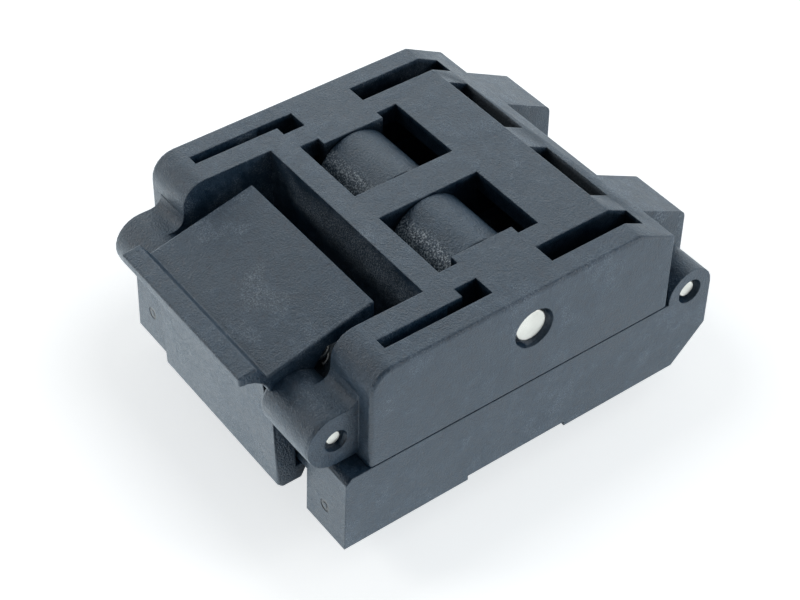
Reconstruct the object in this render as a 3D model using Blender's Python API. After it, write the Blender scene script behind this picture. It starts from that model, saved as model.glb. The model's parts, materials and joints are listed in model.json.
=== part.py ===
"""Clamshell test socket for a small quad flat pack.

A base with sprung contacts, a hinged lid that carries a rocking pressure pad, and a
sprung latch on the lid's front edge that hooks under the base.

The frame: X across the socket, along the hinge pin; +Y towards the hinge; +Z up.
The origin is under the middle of the socket, level with the tips of its solder tails.
Distances called FRONT or BACK are measured from the middle of the package seat, and
heights from the face that sits on the circuit board.
"""

from math import acos, atan2, cos, hypot, pi, radians, sin, tan

import bmesh
import bpy
from mathutils import Matrix, Vector

MM = 0.001

# Outer size of the base
HOUSING_WIDTH = 30.0 * MM
BASE_FRONT = 17.4 * MM
BASE_HEIGHT = 7.35 * MM

# The package that the socket takes, and its contacts
PACKAGE_SIZE = 7.0 * MM
PACKAGE_PLAY = 0.1 * MM
LEADS_PER_SIDE = 8
LEAD_MARGIN = 0.7 * MM
LEAD_PITCH = (PACKAGE_SIZE - 2 * LEAD_MARGIN) / (LEADS_PER_SIDE - 1)
LEAD_SPAN = LEAD_PITCH * (LEADS_PER_SIDE - 1)
CONTACT_THICK = 0.3 * MM
CONTACT_WIDTH = 0.34 * MM
CONTACT_TIP_GAP = 0.55 * MM
CONTACT_TIP_OUT = PACKAGE_SIZE / 2 + CONTACT_TIP_GAP
CONTACT_ARM = 2.35 * MM
CONTACT_STEM_OUT = CONTACT_TIP_OUT + CONTACT_ARM
CONTACT_BEND = 0.85 * MM
CONTACT_BEND_DROP = 3.85 * MM
CONTACT_BEND_HEIGHT = BASE_HEIGHT - CONTACT_BEND_DROP
CONTACT_FOOT_HEIGHT = 1.0 * MM
CONTACT_RISE = radians(30.0)
CONTACT_RUN = CONTACT_ARM - CONTACT_BEND + CONTACT_BEND * sin(CONTACT_RISE) - CONTACT_WIDTH
CONTACT_TOP_HEIGHT = CONTACT_BEND_HEIGHT + CONTACT_BEND * cos(CONTACT_RISE) + CONTACT_RUN * tan(CONTACT_RISE)
TAIL_LENGTH = 3.0 * MM
TAIL_STAGGER = 1.45 * MM
SLOT_SIDE_GAP = 0.08 * MM
SLOT_END_GAP = 0.18 * MM

# Base
BASE_FRONT_DRAFT = 0.35 * MM
BASE_FRONT_BEVEL = 0.5 * MM
PILLAR_WIDTH = 5.0 * MM
FRONT_WALL_BACK = 2.4 * MM
CATCH_DEPTH = 1.2 * MM
CATCH_HEIGHT = 0.8 * MM
CATCH_GAP = 0.3 * MM
REAR_BEVEL = 3.2 * MM
REAR_FLOOR_DROP = 3.05 * MM
REAR_FLOOR_HEIGHT = BASE_HEIGHT - REAR_FLOOR_DROP
RELIEF_DEPTH = 0.45 * MM
RELIEF_FRONT = 5.8 * MM
RELIEF_BACK = 3.8 * MM
WELL_MARGIN = 0.15 * MM
WELL_DEPTH = 2.35 * MM
WELL_FLOOR_HEIGHT = BASE_HEIGHT - WELL_DEPTH

# Hinge
HINGE_BACK = 16.2 * MM
HINGE_RISE = 0.35 * MM
HINGE_HEIGHT = BASE_HEIGHT + HINGE_RISE
HINGE_RADIUS = 2.2 * MM
HINGE_PIN_RADIUS = 0.75 * MM
HINGE_HOLE_RADIUS = 1.15 * MM
HINGE_HOLE_DEPTH = 1.0 * MM
EAR_WIDTH = 3.7 * MM
ARM_RADIUS = 2.42 * MM
ARM_INNER = 5.7 * MM
ARM_SIDE_GAP = 0.15 * MM
ARM_CORNER = 0.8 * MM
ARM_STEP = 0.04 * MM
ARM_FLOOR_GAP = 0.3 * MM

# Axle of the pressure pad, and the lid's height over it
AXLE_RISE = 5.6 * MM
AXLE_HEIGHT = BASE_HEIGHT + AXLE_RISE
AXLE_COVER = 3.62 * MM
AXLE_RADIUS = 1.45 * MM
AXLE_HOLE_RADIUS = 1.8 * MM
AXLE_HOLE_DEPTH = 0.9 * MM
AXLE_INSET = 0.35 * MM

# Lid
LID_TOP_HEIGHT = AXLE_HEIGHT + AXLE_COVER
SEAM = 0.15 * MM
LID_SETBACK = 2.45 * MM
LID_FRONT = BASE_FRONT - LID_SETBACK
LID_HINGE_GAP = 2.4 * MM
LID_BACK = HINGE_BACK - LID_HINGE_GAP
LID_FRONT_DRAFT = 0.2 * MM
LID_NOSE_RADIUS = 2.1 * MM
LID_SLOPE_RUN = 3.67 * MM
LID_SLOPE_BACK = LID_BACK - LID_SLOPE_RUN
LID_SLOPE = radians(27.3)
LID_EDGE = 0.3 * MM
LID_TOP_WALL = 1.7 * MM
LID_ARM_WIDTH = 4.94 * MM
RECESS_HALF = HOUSING_WIDTH / 2 - LID_ARM_WIDTH
SHELF_FROM_EDGE = 0.55 * MM
SHELF_FRONT = LID_FRONT - SHELF_FROM_EDGE
SHELF_WALL = 1.2 * MM
CAVITY_WALL = 5.4 * MM
CAVITY_HALF = HOUSING_WIDTH / 2 - CAVITY_WALL
CAVITY_FRONT = 5.35 * MM
RECESS_WALL = 1.21 * MM
RECESS_FRONT = CAVITY_FRONT + RECESS_WALL
WINDOW_INNER = 1.57 * MM
WINDOW_LEDGE = 0.5 * MM
WINDOW_OUTER = CAVITY_HALF - WINDOW_LEDGE
WINDOW_FRONT_LEDGE = 0.92 * MM
WINDOW_FRONT = CAVITY_FRONT - WINDOW_FRONT_LEDGE
WINDOW_BACK = 4.94 * MM
TAB_WIDTH = 0.83 * MM
TAB_FRONT = 2.68 * MM
TAB_BACK = 3.01 * MM
SLOT_FLOOR = 1.67 * MM
SIDE_SLOT_FROM_EDGE = 1.98 * MM
SIDE_SLOT_WIDTH = 1.93 * MM
SIDE_SLOT_FRONT = 3.07 * MM
SIDE_SLOT_WALL = 1.74 * MM
SIDE_SLOT_BACK = LID_BACK - SIDE_SLOT_WALL
REAR_SLOT_INNER = 1.54 * MM
REAR_SLOT_FROM_EDGE = 6.06 * MM
REAR_SLOT_OUTER = HOUSING_WIDTH / 2 - REAR_SLOT_FROM_EDGE
REAR_SLOT_WALL = 1.69 * MM
REAR_SLOT_BACK = LID_BACK - REAR_SLOT_WALL
REAR_SLOT_WIDTH = 1.91 * MM
REAR_SLOT_FRONT = REAR_SLOT_BACK - REAR_SLOT_WIDTH
CAVITY_REAR_WALL = 1.2 * MM
CAVITY_BACK = REAR_SLOT_FRONT - CAVITY_REAR_WALL
FRONT_SLOT_FROM_EDGE = 1.88 * MM
FRONT_SLOT_WIDTH = 1.0 * MM
FRONT_SLOT_WIDE = 1.98 * MM
FRONT_SLOT_WALL = 2.76 * MM
FRONT_SLOT_FRONT = LID_FRONT - FRONT_SLOT_WALL
FRONT_SLOT_BACK = 2.6 * MM
FRONT_SLOT_STEP_LENGTH = 2.0 * MM
FRONT_SLOT_STEP = FRONT_SLOT_BACK + FRONT_SLOT_STEP_LENGTH

# Pressure pad
PAD_SIDE_GAP = 1.3 * MM
PAD_HALF_WIDTH = CAVITY_HALF - PAD_SIDE_GAP
PAD_END_GAP = 0.35 * MM
PAD_HALF_LENGTH = CAVITY_FRONT - PAD_END_GAP
PAD_RISE = 0.65 * MM
PAD_BOTTOM_HEIGHT = BASE_HEIGHT + PAD_RISE
PAD_THICK = 2.4 * MM
RIB_GAP = 0.57 * MM
RIB_BOTTOM_HEIGHT = PAD_BOTTOM_HEIGHT + PAD_THICK + RIB_GAP
PAD_RECESS_MARGIN = 0.2 * MM
PAD_RECESS_HALF = PACKAGE_SIZE / 2 + PAD_RECESS_MARGIN
PAD_RECESS_DEPTH = 1.4 * MM
BLADE_WALL = 0.2 * MM
BLADE_IN = PAD_RECESS_HALF + BLADE_WALL
BLADE_THICK = 0.8 * MM
BLADE_OUT = BLADE_IN + BLADE_THICK
BLADE_END = 0.3 * MM
BLADE_HALF = LEAD_SPAN / 2 + BLADE_END
LEAD_GAP = 0.33 * MM
BLADE_TIP_HEIGHT = CONTACT_TOP_HEIGHT + CONTACT_WIDTH / 2 + LEAD_GAP
KNUCKLE_RADIUS = 3.55 * MM
KNUCKLE_SIDE_GAP = 0.15 * MM
PAD_EDGE = 0.3 * MM

# Package nest
NEST_MARGIN = 0.1 * MM
NEST_HALF = PACKAGE_SIZE / 2 + NEST_MARGIN
NEST_CORNER_OVERLAP = 0.2 * MM
NEST_CORNER_IN = PACKAGE_SIZE / 2 - NEST_CORNER_OVERLAP
NEST_CORNER_WIDTH = 2.0 * MM
NEST_CORNER_OUT = NEST_CORNER_IN + NEST_CORNER_WIDTH
NEST_DROP = 2.45 * MM
NEST_TOP_HEIGHT = BASE_HEIGHT - NEST_DROP
NEST_THICK = 1.3 * MM
NEST_GAP = 0.1 * MM
POST_HEIGHT = 2.0 * MM
POST_TOP_HEIGHT = NEST_TOP_HEIGHT + POST_HEIGHT
POST_LEAD_IN = 0.6 * MM

# Latch, measured from its pin
LATCH_PIN_SETBACK = 0.57 * MM
LATCH_PIN_FRONT = BASE_FRONT - LATCH_PIN_SETBACK
LATCH_PIN_RISE = 3.02 * MM
LATCH_PIN_HEIGHT = BASE_HEIGHT + LATCH_PIN_RISE
LATCH_PIN_RADIUS = 0.62 * MM
LATCH_HOLE_RADIUS = 0.98 * MM
LATCH_HOLE_DEPTH = 0.7 * MM
LATCH_PIN_INSET = 0.4 * MM
BARREL_RADIUS = 2.47 * MM
BARREL_INSET = 1.41 * MM
BARREL_OUTER = HOUSING_WIDTH / 2 - BARREL_INSET
BARREL_SIDE_GAP = 0.3 * MM
BARREL_ROUND_GAP = 0.1 * MM
LUG_STEP = 0.04 * MM
BARREL_EDGE = 0.35 * MM
LUG_FILLET = 1.0 * MM
LATCH_SIDE_GAP = 1.86 * MM
LATCH_HALF = RECESS_HALF - LATCH_SIDE_GAP
LATCH_HUB_INSET = 1.1 * MM
LATCH_HUB_HALF = LATCH_HALF - LATCH_HUB_INSET
PLATE_GAP = 2.99 * MM
PLATE_BACK = LATCH_PIN_FRONT - RECESS_FRONT - PLATE_GAP
PLATE_HEIGHT = 5.51 * MM
PLATE_SLOPE = radians(13.2)
PLATE_UNDERSIDE = 3.3 * MM
GROOVE_FRONT = 2.12 * MM
LIP_HEIGHT = 4.6 * MM
LIP_BACK = 2.92 * MM
LIP_FRONT = 4.45 * MM
LIP_THICK = 1.0 * MM
WALL_FRONT = 1.87 * MM
WALL_THICK = 1.75 * MM
HUB_RADIUS = 1.9 * MM
HOOK_FOOT_HEIGHT = 1.35 * MM
HOOK_DROP = LATCH_PIN_HEIGHT - HOOK_FOOT_HEIGHT
HOOK_THICK = 1.6 * MM
HOOK_ENGAGE = 0.7 * MM
HOOK_ROUND = 0.4 * MM
LATCH_EDGE = 0.15 * MM

# Springs
LATCH_SPRING_INSET = 3.7 * MM
LATCH_SPRING_SIDE = LATCH_HALF - LATCH_SPRING_INSET
LATCH_SPRING_FROM_END = 3.05 * MM
LATCH_SPRING_BACK = PLATE_BACK - LATCH_SPRING_FROM_END
LATCH_SPRING_RADIUS = 1.05 * MM
LATCH_SPRING_WIRE = 0.36 * MM
LATCH_SPRING_TURNS = 5
SPRING_BOSS_RADIUS = 0.7 * MM
SPRING_BOSS_HEIGHT = 1.2 * MM
HINGE_SPRING_RADIUS = 1.35 * MM
HINGE_SPRING_WIRE = 0.6 * MM
HINGE_SPRING_TURNS = 4
HINGE_SPRING_INNER = 1.2 * MM
HINGE_SPRING_SIDE_GAP = 0.286 * MM
HINGE_SPRING_OUTER = ARM_INNER - HINGE_SPRING_SIDE_GAP - HINGE_SPRING_WIRE / 2
HINGE_SPRING_LEG = 3.9 * MM
HINGE_SPRING_REACH = HINGE_BACK - HINGE_SPRING_LEG
HINGE_SPRING_BAR_DROP = 0.45 * MM

# Fits
PIN_GAP = 0.06 * MM
SEAT_GAP = 0.1 * MM
ROUND_SIDES = 32
COIL_POINTS = 12

# Places worked out from the sizes above
HALF_WIDTH = HOUSING_WIDTH / 2
REAR_REACH = HINGE_BACK + ARM_RADIUS
LIP_REACH = LATCH_PIN_FRONT + LIP_FRONT
SEAT_Y = (LIP_REACH - REAR_REACH) / 2
PIN_Y = SEAT_Y + HINGE_BACK
PIN_Z = TAIL_LENGTH + HINGE_HEIGHT
LATCH_Y = SEAT_Y - LATCH_PIN_FRONT
LATCH_Z = TAIL_LENGTH + LATCH_PIN_HEIGHT
AXLE_Z = TAIL_LENGTH + AXLE_HEIGHT
LID_BOTTOM = TAIL_LENGTH + BASE_HEIGHT + SEAM
LID_TOP = TAIL_LENGTH + LID_TOP_HEIGHT
SHELF_TOP = LID_BOTTOM + SHELF_WALL
SLOT_BOTTOM = LID_BOTTOM + SLOT_FLOOR
EAR_INNER = HALF_WIDTH - EAR_WIDTH
ARM_OUTER = EAR_INNER - ARM_SIDE_GAP
BARREL_INNER = LATCH_HUB_HALF + BARREL_SIDE_GAP
WELL_HALF = CONTACT_STEM_OUT + CONTACT_WIDTH / 2 + SLOT_END_GAP + WELL_MARGIN
PLATE_UNDER_Z = LATCH_Z + PLATE_UNDERSIDE
FAR = 60.0 * MM

MATERIALS = {
    "moulded_black": ((0.075, 0.092, 0.112), 0.55, 0.0),
    "pad_black": ((0.085, 0.102, 0.122), 0.48, 0.0),
    "bright_steel": ((0.8, 0.785, 0.75), 0.22, 1.0),
    "spring_steel": ((0.56, 0.55, 0.53), 0.3, 1.0),
    "contact_gold": ((0.9, 0.66, 0.28), 0.25, 1.0),
}


def clear_scene():
    for thing in list(bpy.data.objects):
        bpy.data.objects.remove(thing, do_unlink=True)


def material(name):
    """A Principled material from the table of finishes."""
    if name in bpy.data.materials:
        return bpy.data.materials[name]
    colour, roughness, metallic = MATERIALS[name]
    made = bpy.data.materials.new(name)
    made.use_nodes = True
    shader = made.node_tree.nodes["Principled BSDF"]
    shader.inputs["Base Color"].default_value = (*colour, 1.0)
    shader.inputs["Roughness"].default_value = roughness
    shader.inputs["Metallic"].default_value = metallic
    made.diffuse_color = (*colour, 1.0)
    return made


def height(value):
    """World height of a height above the board face."""
    return TAIL_LENGTH + value


def back(value):
    """World Y of a distance behind the middle of the seat."""
    return SEAT_Y + value


def arc(centre, radius, start, end, steps):
    """Points on an arc, from start to end in degrees."""
    angles = [radians(start + (end - start) * i / steps) for i in range(steps + 1)]
    return [(centre[0] + radius * cos(a), centre[1] + radius * sin(a)) for a in angles]


def extrude(outline, low, high, axis):
    """A bmesh prism of a closed outline, swept along one axis."""
    place = {
        "X": lambda p, t: (t, p[0], p[1]),
        "Y": lambda p, t: (p[0], t, p[1]),
        "Z": lambda p, t: (p[0], p[1], t),
    }[axis]
    shape = bmesh.new()
    rings = [[shape.verts.new(place(p, t)) for p in outline] for t in (low, high)]
    shape.faces.new(rings[0])
    shape.faces.new(rings[1])
    count = len(outline)
    for i in range(count):
        j = (i + 1) % count
        shape.faces.new((rings[0][i], rings[0][j], rings[1][j], rings[1][i]))
    bmesh.ops.recalc_face_normals(shape, faces=shape.faces)
    return shape


def block(x, y, z):
    """A bmesh box from its low and high corners on each axis."""
    return extrude([(x[0], y[0]), (x[1], y[0]), (x[1], y[1]), (x[0], y[1])], z[0], z[1], "Z")


def rod(centre, radius, low, high, axis="X", sides=ROUND_SIDES):
    """A bmesh cylinder along an axis, centre in the plane across it."""
    return extrude(arc(centre, radius, 0, 360 - 360 / sides, sides - 1), low, high, axis)


def bevel_where(shape, width, segments, test):
    """Round the edges of a bmesh whose two ends pass a test."""
    edges = [e for e in shape.edges if len(e.link_faces) == 2 and test(e)]
    bmesh.ops.bevel(
        shape, geom=edges, offset=width, segments=segments, profile=0.5, affect="EDGES", clamp_overlap=True
    )


def sharp(edge, limit=25.0):
    """True for an edge whose faces meet at more than the limit, in degrees."""
    return abs(edge.calc_face_angle(0.0)) > radians(limit)


def merged(shapes):
    """One bmesh that holds several separate ones."""
    whole = bmesh.new()
    for shape in shapes:
        part = bpy.data.meshes.new("part")
        shape.to_mesh(part)
        whole.from_mesh(part)
        bpy.data.meshes.remove(part)
        shape.free()
    return whole


def new_object(name, shape, finish, pivot=(0.0, 0.0, 0.0), parent=None):
    """A named object from a bmesh in world places, its own origin put on its pivot."""
    origin = Vector(pivot)
    bmesh.ops.translate(shape, verts=shape.verts, vec=-origin)
    mesh = bpy.data.meshes.new(name)
    shape.to_mesh(mesh)
    shape.free()
    made = bpy.data.objects.new(name, mesh)
    bpy.context.collection.objects.link(made)
    made.location = origin - (parent.matrix_world.translation if parent else Vector())
    made.parent = parent
    if finish:
        mesh.materials.append(material(finish))
    return made


def tool(name, shapes):
    """A hidden solid that cuts or joins another."""
    made = new_object(name, merged(shapes), None)
    made.hide_render = True
    made.display_type = "WIRE"
    return made


def combine(target, operation, name, shapes):
    """Cut shapes from a target, or join them to it."""
    step = target.modifiers.new(name, "BOOLEAN")
    step.operation = operation
    step.solver = "EXACT"
    step.object = tool(name, shapes)


def round_shading(thing, limit=35.0):
    thing.data.shade_smooth()
    thing.data.set_sharp_from_angle(angle=radians(limit))


def pivot_empty(name, place, parent=None):
    made = bpy.data.objects.new(name, None)
    bpy.context.collection.objects.link(made)
    made.location = Vector(place) - (parent.matrix_world.translation if parent else Vector())
    made.parent = parent
    bpy.context.view_layer.update()
    return made


def both_sides(make):
    """The shapes that a function gives for the left and the right side."""
    return [make(side) for side in (-1, 1)]


def span(side, low, high):
    """An X range on one side of the middle, lowest first."""
    return (low, high) if side > 0 else (-high, -low)


def across(side, outline):
    """An XY or XZ outline on one side of the middle."""
    return [(side * x, v) for x, v in outline]


# Package side frames: each contact row is made once and turned to its side
SIDE_TURNS = {"front": 0.0, "right": 90.0, "rear": 180.0, "left": 270.0}


def turned(shape, side):
    """Turn a bmesh made for the front row about the middle of the seat."""
    middle = Vector((0.0, SEAT_Y, 0.0))
    turn = Matrix.Rotation(radians(SIDE_TURNS[side]), 3, "Z")
    bmesh.ops.rotate(shape, verts=shape.verts, cent=middle, matrix=turn)
    return shape


def lead_places():
    """Places of the leads along a side, from its middle."""
    return [i * LEAD_PITCH - LEAD_SPAN / 2 for i in range(LEADS_PER_SIDE)]


def base_outline():
    """Side view of the base, with its ears."""
    top = height(BASE_HEIGHT)
    foot = height(0.0)
    rear = back(HINGE_BACK + HINGE_RADIUS)
    drop = HINGE_HEIGHT - BASE_HEIGHT
    start = 180.0 + atan2(drop, (HINGE_RADIUS**2 - drop**2) ** 0.5) * 180.0 / pi
    points = [
        (back(-BASE_FRONT), foot),
        (back(-BASE_FRONT + BASE_FRONT_DRAFT), top - BASE_FRONT_BEVEL),
        (back(-BASE_FRONT + BASE_FRONT_DRAFT + BASE_FRONT_BEVEL), top),
    ]
    points += arc((PIN_Y, PIN_Z), HINGE_RADIUS, start, 0.0, 12)
    points += [
        (rear, foot + REAR_BEVEL),
        (rear - REAR_BEVEL, foot),
        (back(RELIEF_BACK), foot),
        (back(RELIEF_BACK), foot + RELIEF_DEPTH),
        (back(-RELIEF_FRONT), foot + RELIEF_DEPTH),
        (back(-RELIEF_FRONT), foot),
    ]
    return points


def catch_face():
    """World Y of the catch rib's front face, behind the latch wall."""
    hook_tip = LATCH_Y - WALL_FRONT + WALL_THICK + HOOK_ENGAGE + CATCH_GAP
    return hook_tip - HOOK_ENGAGE


def front_notch():
    """Side view of the opening between the pillars, which leaves the catch rib."""
    wall = back(-BASE_FRONT + FRONT_WALL_BACK) + CATCH_DEPTH
    face = catch_face()
    under = LATCH_Z - HOOK_DROP + HOOK_THICK + CATCH_GAP
    return [
        (back(-FAR), height(-FAR)),
        (wall, height(-FAR)),
        (wall, under),
        (face, under),
        (face, under + CATCH_HEIGHT),
        (wall, under + CATCH_HEIGHT + CATCH_DEPTH),
        (wall, height(FAR)),
        (back(-FAR), height(FAR)),
    ]


def nest_outline(grow=0.0):
    """Plan of the nest: a square with a square foot at each corner."""
    half = NEST_HALF + grow
    low = NEST_CORNER_IN - grow
    high = NEST_CORNER_OUT + grow
    quarter = [(half, low), (high, low), (high, high), (low, high), (low, half)]
    points = []
    for turn in range(4):
        a = turn * pi / 2
        points += [(x * round(cos(a)) - y * round(sin(a)), x * round(sin(a)) + y * round(cos(a))) for x, y in quarter]
    return [(x, SEAT_Y + y) for x, y in points]


def contact_slot(along, side):
    """The slot in the base for one contact."""
    half = CONTACT_THICK / 2 + SLOT_SIDE_GAP
    inner = CONTACT_TIP_OUT - SLOT_END_GAP / 2
    outer = CONTACT_STEM_OUT + CONTACT_WIDTH / 2 + SLOT_END_GAP
    shape = block((along - half, along + half), (back(-outer), back(-inner)), (height(-FAR), height(FAR)))
    return turned(shape, side)


def make_base():
    shape = extrude(base_outline(), -HALF_WIDTH, HALF_WIDTH, "X")
    base = new_object("base_housing", shape, "moulded_black")
    inner = HALF_WIDTH - PILLAR_WIDTH
    combine(base, "DIFFERENCE", "base_front_opening", [extrude(front_notch(), -inner, inner, "X")])
    gap_front = PIN_Y - ARM_RADIUS - ARM_FLOOR_GAP
    rear_gap = block((-EAR_INNER, EAR_INNER), (gap_front, back(FAR)), (height(REAR_FLOOR_HEIGHT), height(FAR)))
    combine(base, "DIFFERENCE", "base_rear_opening", [rear_gap])
    groove_half = HINGE_SPRING_INNER + HINGE_SPRING_WIRE
    groove_low = height(BASE_HEIGHT) - HINGE_SPRING_WIRE * 2
    groove_front = back(HINGE_SPRING_REACH) - HINGE_SPRING_WIRE
    groove = block((-groove_half, groove_half), (groove_front, gap_front + SEAT_GAP), (groove_low, height(FAR)))
    combine(base, "DIFFERENCE", "base_spring_groove", [groove])
    seat = (SEAT_Y - WELL_HALF, SEAT_Y + WELL_HALF)
    well = block((-WELL_HALF, WELL_HALF), seat, (height(WELL_FLOOR_HEIGHT), height(FAR)))
    combine(base, "DIFFERENCE", "base_well", [well])
    pocket_low = height(NEST_TOP_HEIGHT - NEST_THICK) - SEAT_GAP
    pocket = extrude(nest_outline(NEST_GAP), pocket_low, height(FAR), "Z")
    combine(base, "DIFFERENCE", "base_nest_pocket", [pocket])
    slots = [contact_slot(along, side) for side in SIDE_TURNS for along in lead_places()]
    combine(base, "DIFFERENCE", "base_contact_slots", slots)
    bore = rod((PIN_Y, PIN_Z), HINGE_PIN_RADIUS + PIN_GAP, -FAR, FAR)
    combine(base, "DIFFERENCE", "base_hinge_bore", [bore])
    mouth = HALF_WIDTH - HINGE_HOLE_DEPTH
    mouths = both_sides(lambda s: rod((PIN_Y, PIN_Z), HINGE_HOLE_RADIUS, *span(s, mouth, FAR)))
    combine(base, "DIFFERENCE", "base_hinge_mouths", mouths)
    round_shading(base)


def ribbon(centre_line, width):
    """Outline of a strip of one width about a line of points, with mitred bends."""
    left, right = [], []
    count = len(centre_line)
    for i, point in enumerate(centre_line):
        before = centre_line[max(i - 1, 0)]
        after = centre_line[min(i + 1, count - 1)]
        sides = []
        for a, b in ((before, point), (point, after)):
            length = hypot(b[0] - a[0], b[1] - a[1])
            if length > 0:
                sides.append(Vector((-(b[1] - a[1]) / length, (b[0] - a[0]) / length)))
        normal = sum(sides, Vector((0.0, 0.0))).normalized()
        reach = width / 2 / max(normal.dot(sides[0]), 0.5)
        left.append((point[0] + normal.x * reach, point[1] + normal.y * reach))
        right.append((point[0] - normal.x * reach, point[1] - normal.y * reach))
    return left + right[::-1]


def contact_line(tail_out):
    """Middle line of a contact: out from the seat against height."""
    bend = (CONTACT_STEM_OUT - CONTACT_BEND, CONTACT_BEND_HEIGHT)
    points = [(tail_out, -TAIL_LENGTH), (tail_out, CONTACT_FOOT_HEIGHT)]
    if tail_out < CONTACT_STEM_OUT:
        points.append((CONTACT_STEM_OUT, CONTACT_FOOT_HEIGHT))
    curve = arc(bend, CONTACT_BEND, 0.0, 90.0 - CONTACT_RISE * 180.0 / pi, 4)
    points += curve
    last = curve[-1]
    run = last[0] - CONTACT_TIP_OUT - CONTACT_WIDTH
    points.append((last[0] - run, last[1] + run * tan(CONTACT_RISE)))
    points.append((CONTACT_TIP_OUT, points[-1][1]))
    return points


def make_contacts():
    """One sprung contact for each lead, with its tails in two rows on each side."""
    for side in SIDE_TURNS:
        for number, along in enumerate(lead_places()):
            tail_out = CONTACT_STEM_OUT - (TAIL_STAGGER if number % 2 else 0.0)
            outline = ribbon(contact_line(tail_out), CONTACT_WIDTH)
            points = [(back(-out), height(up)) for out, up in outline]
            low = along - CONTACT_THICK / 2
            shape = turned(extrude(points, low, low + CONTACT_THICK, "X"), side)
            new_object(f"contact_{side}_{number + 1}", shape, "contact_gold")


def make_nest():
    """The seat that locates the package, with a guide at each corner."""
    low = height(NEST_TOP_HEIGHT - NEST_THICK)
    nest = new_object("package_nest", extrude(nest_outline(), low, height(NEST_TOP_HEIGHT), "Z"), "moulded_black")
    guide = PACKAGE_SIZE / 2 + PACKAGE_PLAY
    inner, outer = NEST_CORNER_IN + LUG_STEP, NEST_CORNER_OUT - LUG_STEP
    corner = [(guide, inner), (outer, inner), (outer, outer), (inner, outer), (inner, guide), (guide, guide)]
    posts = []
    for x_side in (-1, 1):
        for y_side in (-1, 1):
            points = [(x_side * x, SEAT_Y + y_side * y) for x, y in corner]
            post = extrude(points, height(NEST_TOP_HEIGHT - NEST_THICK / 2), height(POST_TOP_HEIGHT), "Z")
            top = height(POST_TOP_HEIGHT) - SEAT_GAP
            bevel_where(post, POST_LEAD_IN, 1, lambda e: on_guide(e, guide, top))
            posts.append(post)
    combine(nest, "UNION", "nest_posts", posts)


def on_guide(edge, guide, top):
    """True for the upper inner edges of a corner post, where the package slides in."""
    ends = [v.co for v in edge.verts]
    if min(v.z for v in ends) < top:
        return False
    flat_x = all(abs(abs(v.x) - guide) < 1e-6 for v in ends)
    flat_y = all(abs(abs(v.y - SEAT_Y) - guide) < 1e-6 for v in ends)
    return flat_x or flat_y


def make_hinge_pin():
    end = HALF_WIDTH - AXLE_INSET
    pin = rod((PIN_Y, PIN_Z), HINGE_PIN_RADIUS, -end, end)
    bevel_where(pin, HINGE_PIN_RADIUS * 0.15, 1, lambda e: sharp(e, 60.0))
    round_shading(new_object("hinge_pin", pin, "bright_steel", (0.0, PIN_Y, PIN_Z)), 30.0)


def wire(name, points, diameter, sides_level, finish, pivot=(0.0, 0.0, 0.0), parent=None):
    """A round wire along a line of points, with closed ends."""
    curve = bpy.data.curves.new(name, "CURVE")
    curve.dimensions = "3D"
    curve.bevel_depth = diameter / 2
    curve.bevel_resolution = sides_level
    curve.use_fill_caps = True
    line = curve.splines.new("POLY")
    line.points.add(len(points) - 1)
    origin = Vector(pivot)
    for slot, point in zip(line.points, points):
        slot.co = (*(Vector(point) - origin), 1.0)
    curve.materials.append(material(finish))
    made = bpy.data.objects.new(name, curve)
    bpy.context.collection.objects.link(made)
    made.location = origin - (parent.matrix_world.translation if parent else Vector())
    made.parent = parent
    return made


def make_hinge_spring():
    """A double torsion spring on the hinge pin: a leg down, a coil, and a bar under the lid."""
    bar_y = back(HINGE_SPRING_REACH)
    bar_z = height(BASE_HEIGHT) - HINGE_SPRING_BAR_DROP
    away = (bar_y - PIN_Y, bar_z - PIN_Z)
    leave = atan2(away[1], away[0]) + acos(HINGE_SPRING_RADIUS / hypot(*away))
    start = pi
    turn = HINGE_SPRING_TURNS * 2 * pi + (start - leave) % (2 * pi)
    steps = round(turn / (2 * pi) * COIL_POINTS)
    length = HINGE_SPRING_OUTER - HINGE_SPRING_INNER
    floor = height(REAR_FLOOR_HEIGHT) + SEAT_GAP
    half = [(HINGE_SPRING_OUTER, PIN_Y - HINGE_SPRING_RADIUS, floor)]
    for i in range(steps + 1):
        a = start - turn * i / steps
        x = HINGE_SPRING_INNER + length * (1 - i / steps)
        half.append((x, PIN_Y + HINGE_SPRING_RADIUS * cos(a), PIN_Z + HINGE_SPRING_RADIUS * sin(a)))
    half.append((HINGE_SPRING_INNER, bar_y, bar_z))
    other = [(-x, y, z) for x, y, z in reversed(half)]
    wire("hinge_spring", half + other, HINGE_SPRING_WIRE, 1, "spring_steel", (0.0, PIN_Y, PIN_Z))


def lid_outline():
    """Side view of the lid's block: nose, flat top, rear slope."""
    front = back(-LID_FRONT)
    nose = (front + LID_FRONT_DRAFT + LID_NOSE_RADIUS, LID_TOP - LID_NOSE_RADIUS)
    points = [(front, LID_BOTTOM)]
    points += arc(nose, LID_NOSE_RADIUS, 180.0, 90.0, 6)
    points += [
        (back(LID_SLOPE_BACK), LID_TOP),
        (back(LID_BACK), slope_height(back(LID_BACK))),
        (back(LID_BACK), LID_BOTTOM),
    ]
    return points


def slope_height(y):
    """Height of the lid's rear slope at a place."""
    return LID_TOP - (y - back(LID_SLOPE_BACK)) * tan(LID_SLOPE)


def arm_outline():
    """Side view of a hinge arm, which carries on the lid's rear slope."""
    start = back(LID_BACK - SHELF_WALL)
    rear = PIN_Y + ARM_RADIUS
    corner_y = rear - ARM_CORNER
    corner_z = slope_height(corner_y) - ARM_STEP - ARM_CORNER / cos(LID_SLOPE)
    points = [(start, slope_height(start) - ARM_STEP)]
    points += arc((corner_y, corner_z), ARM_CORNER, 90.0 - LID_SLOPE * 180.0 / pi, 0.0, 4)
    points += arc((PIN_Y, PIN_Z), ARM_RADIUS, 0.0, -180.0, 16)
    points.append((start, LID_BOTTOM + SHELF_WALL))
    return points


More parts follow.
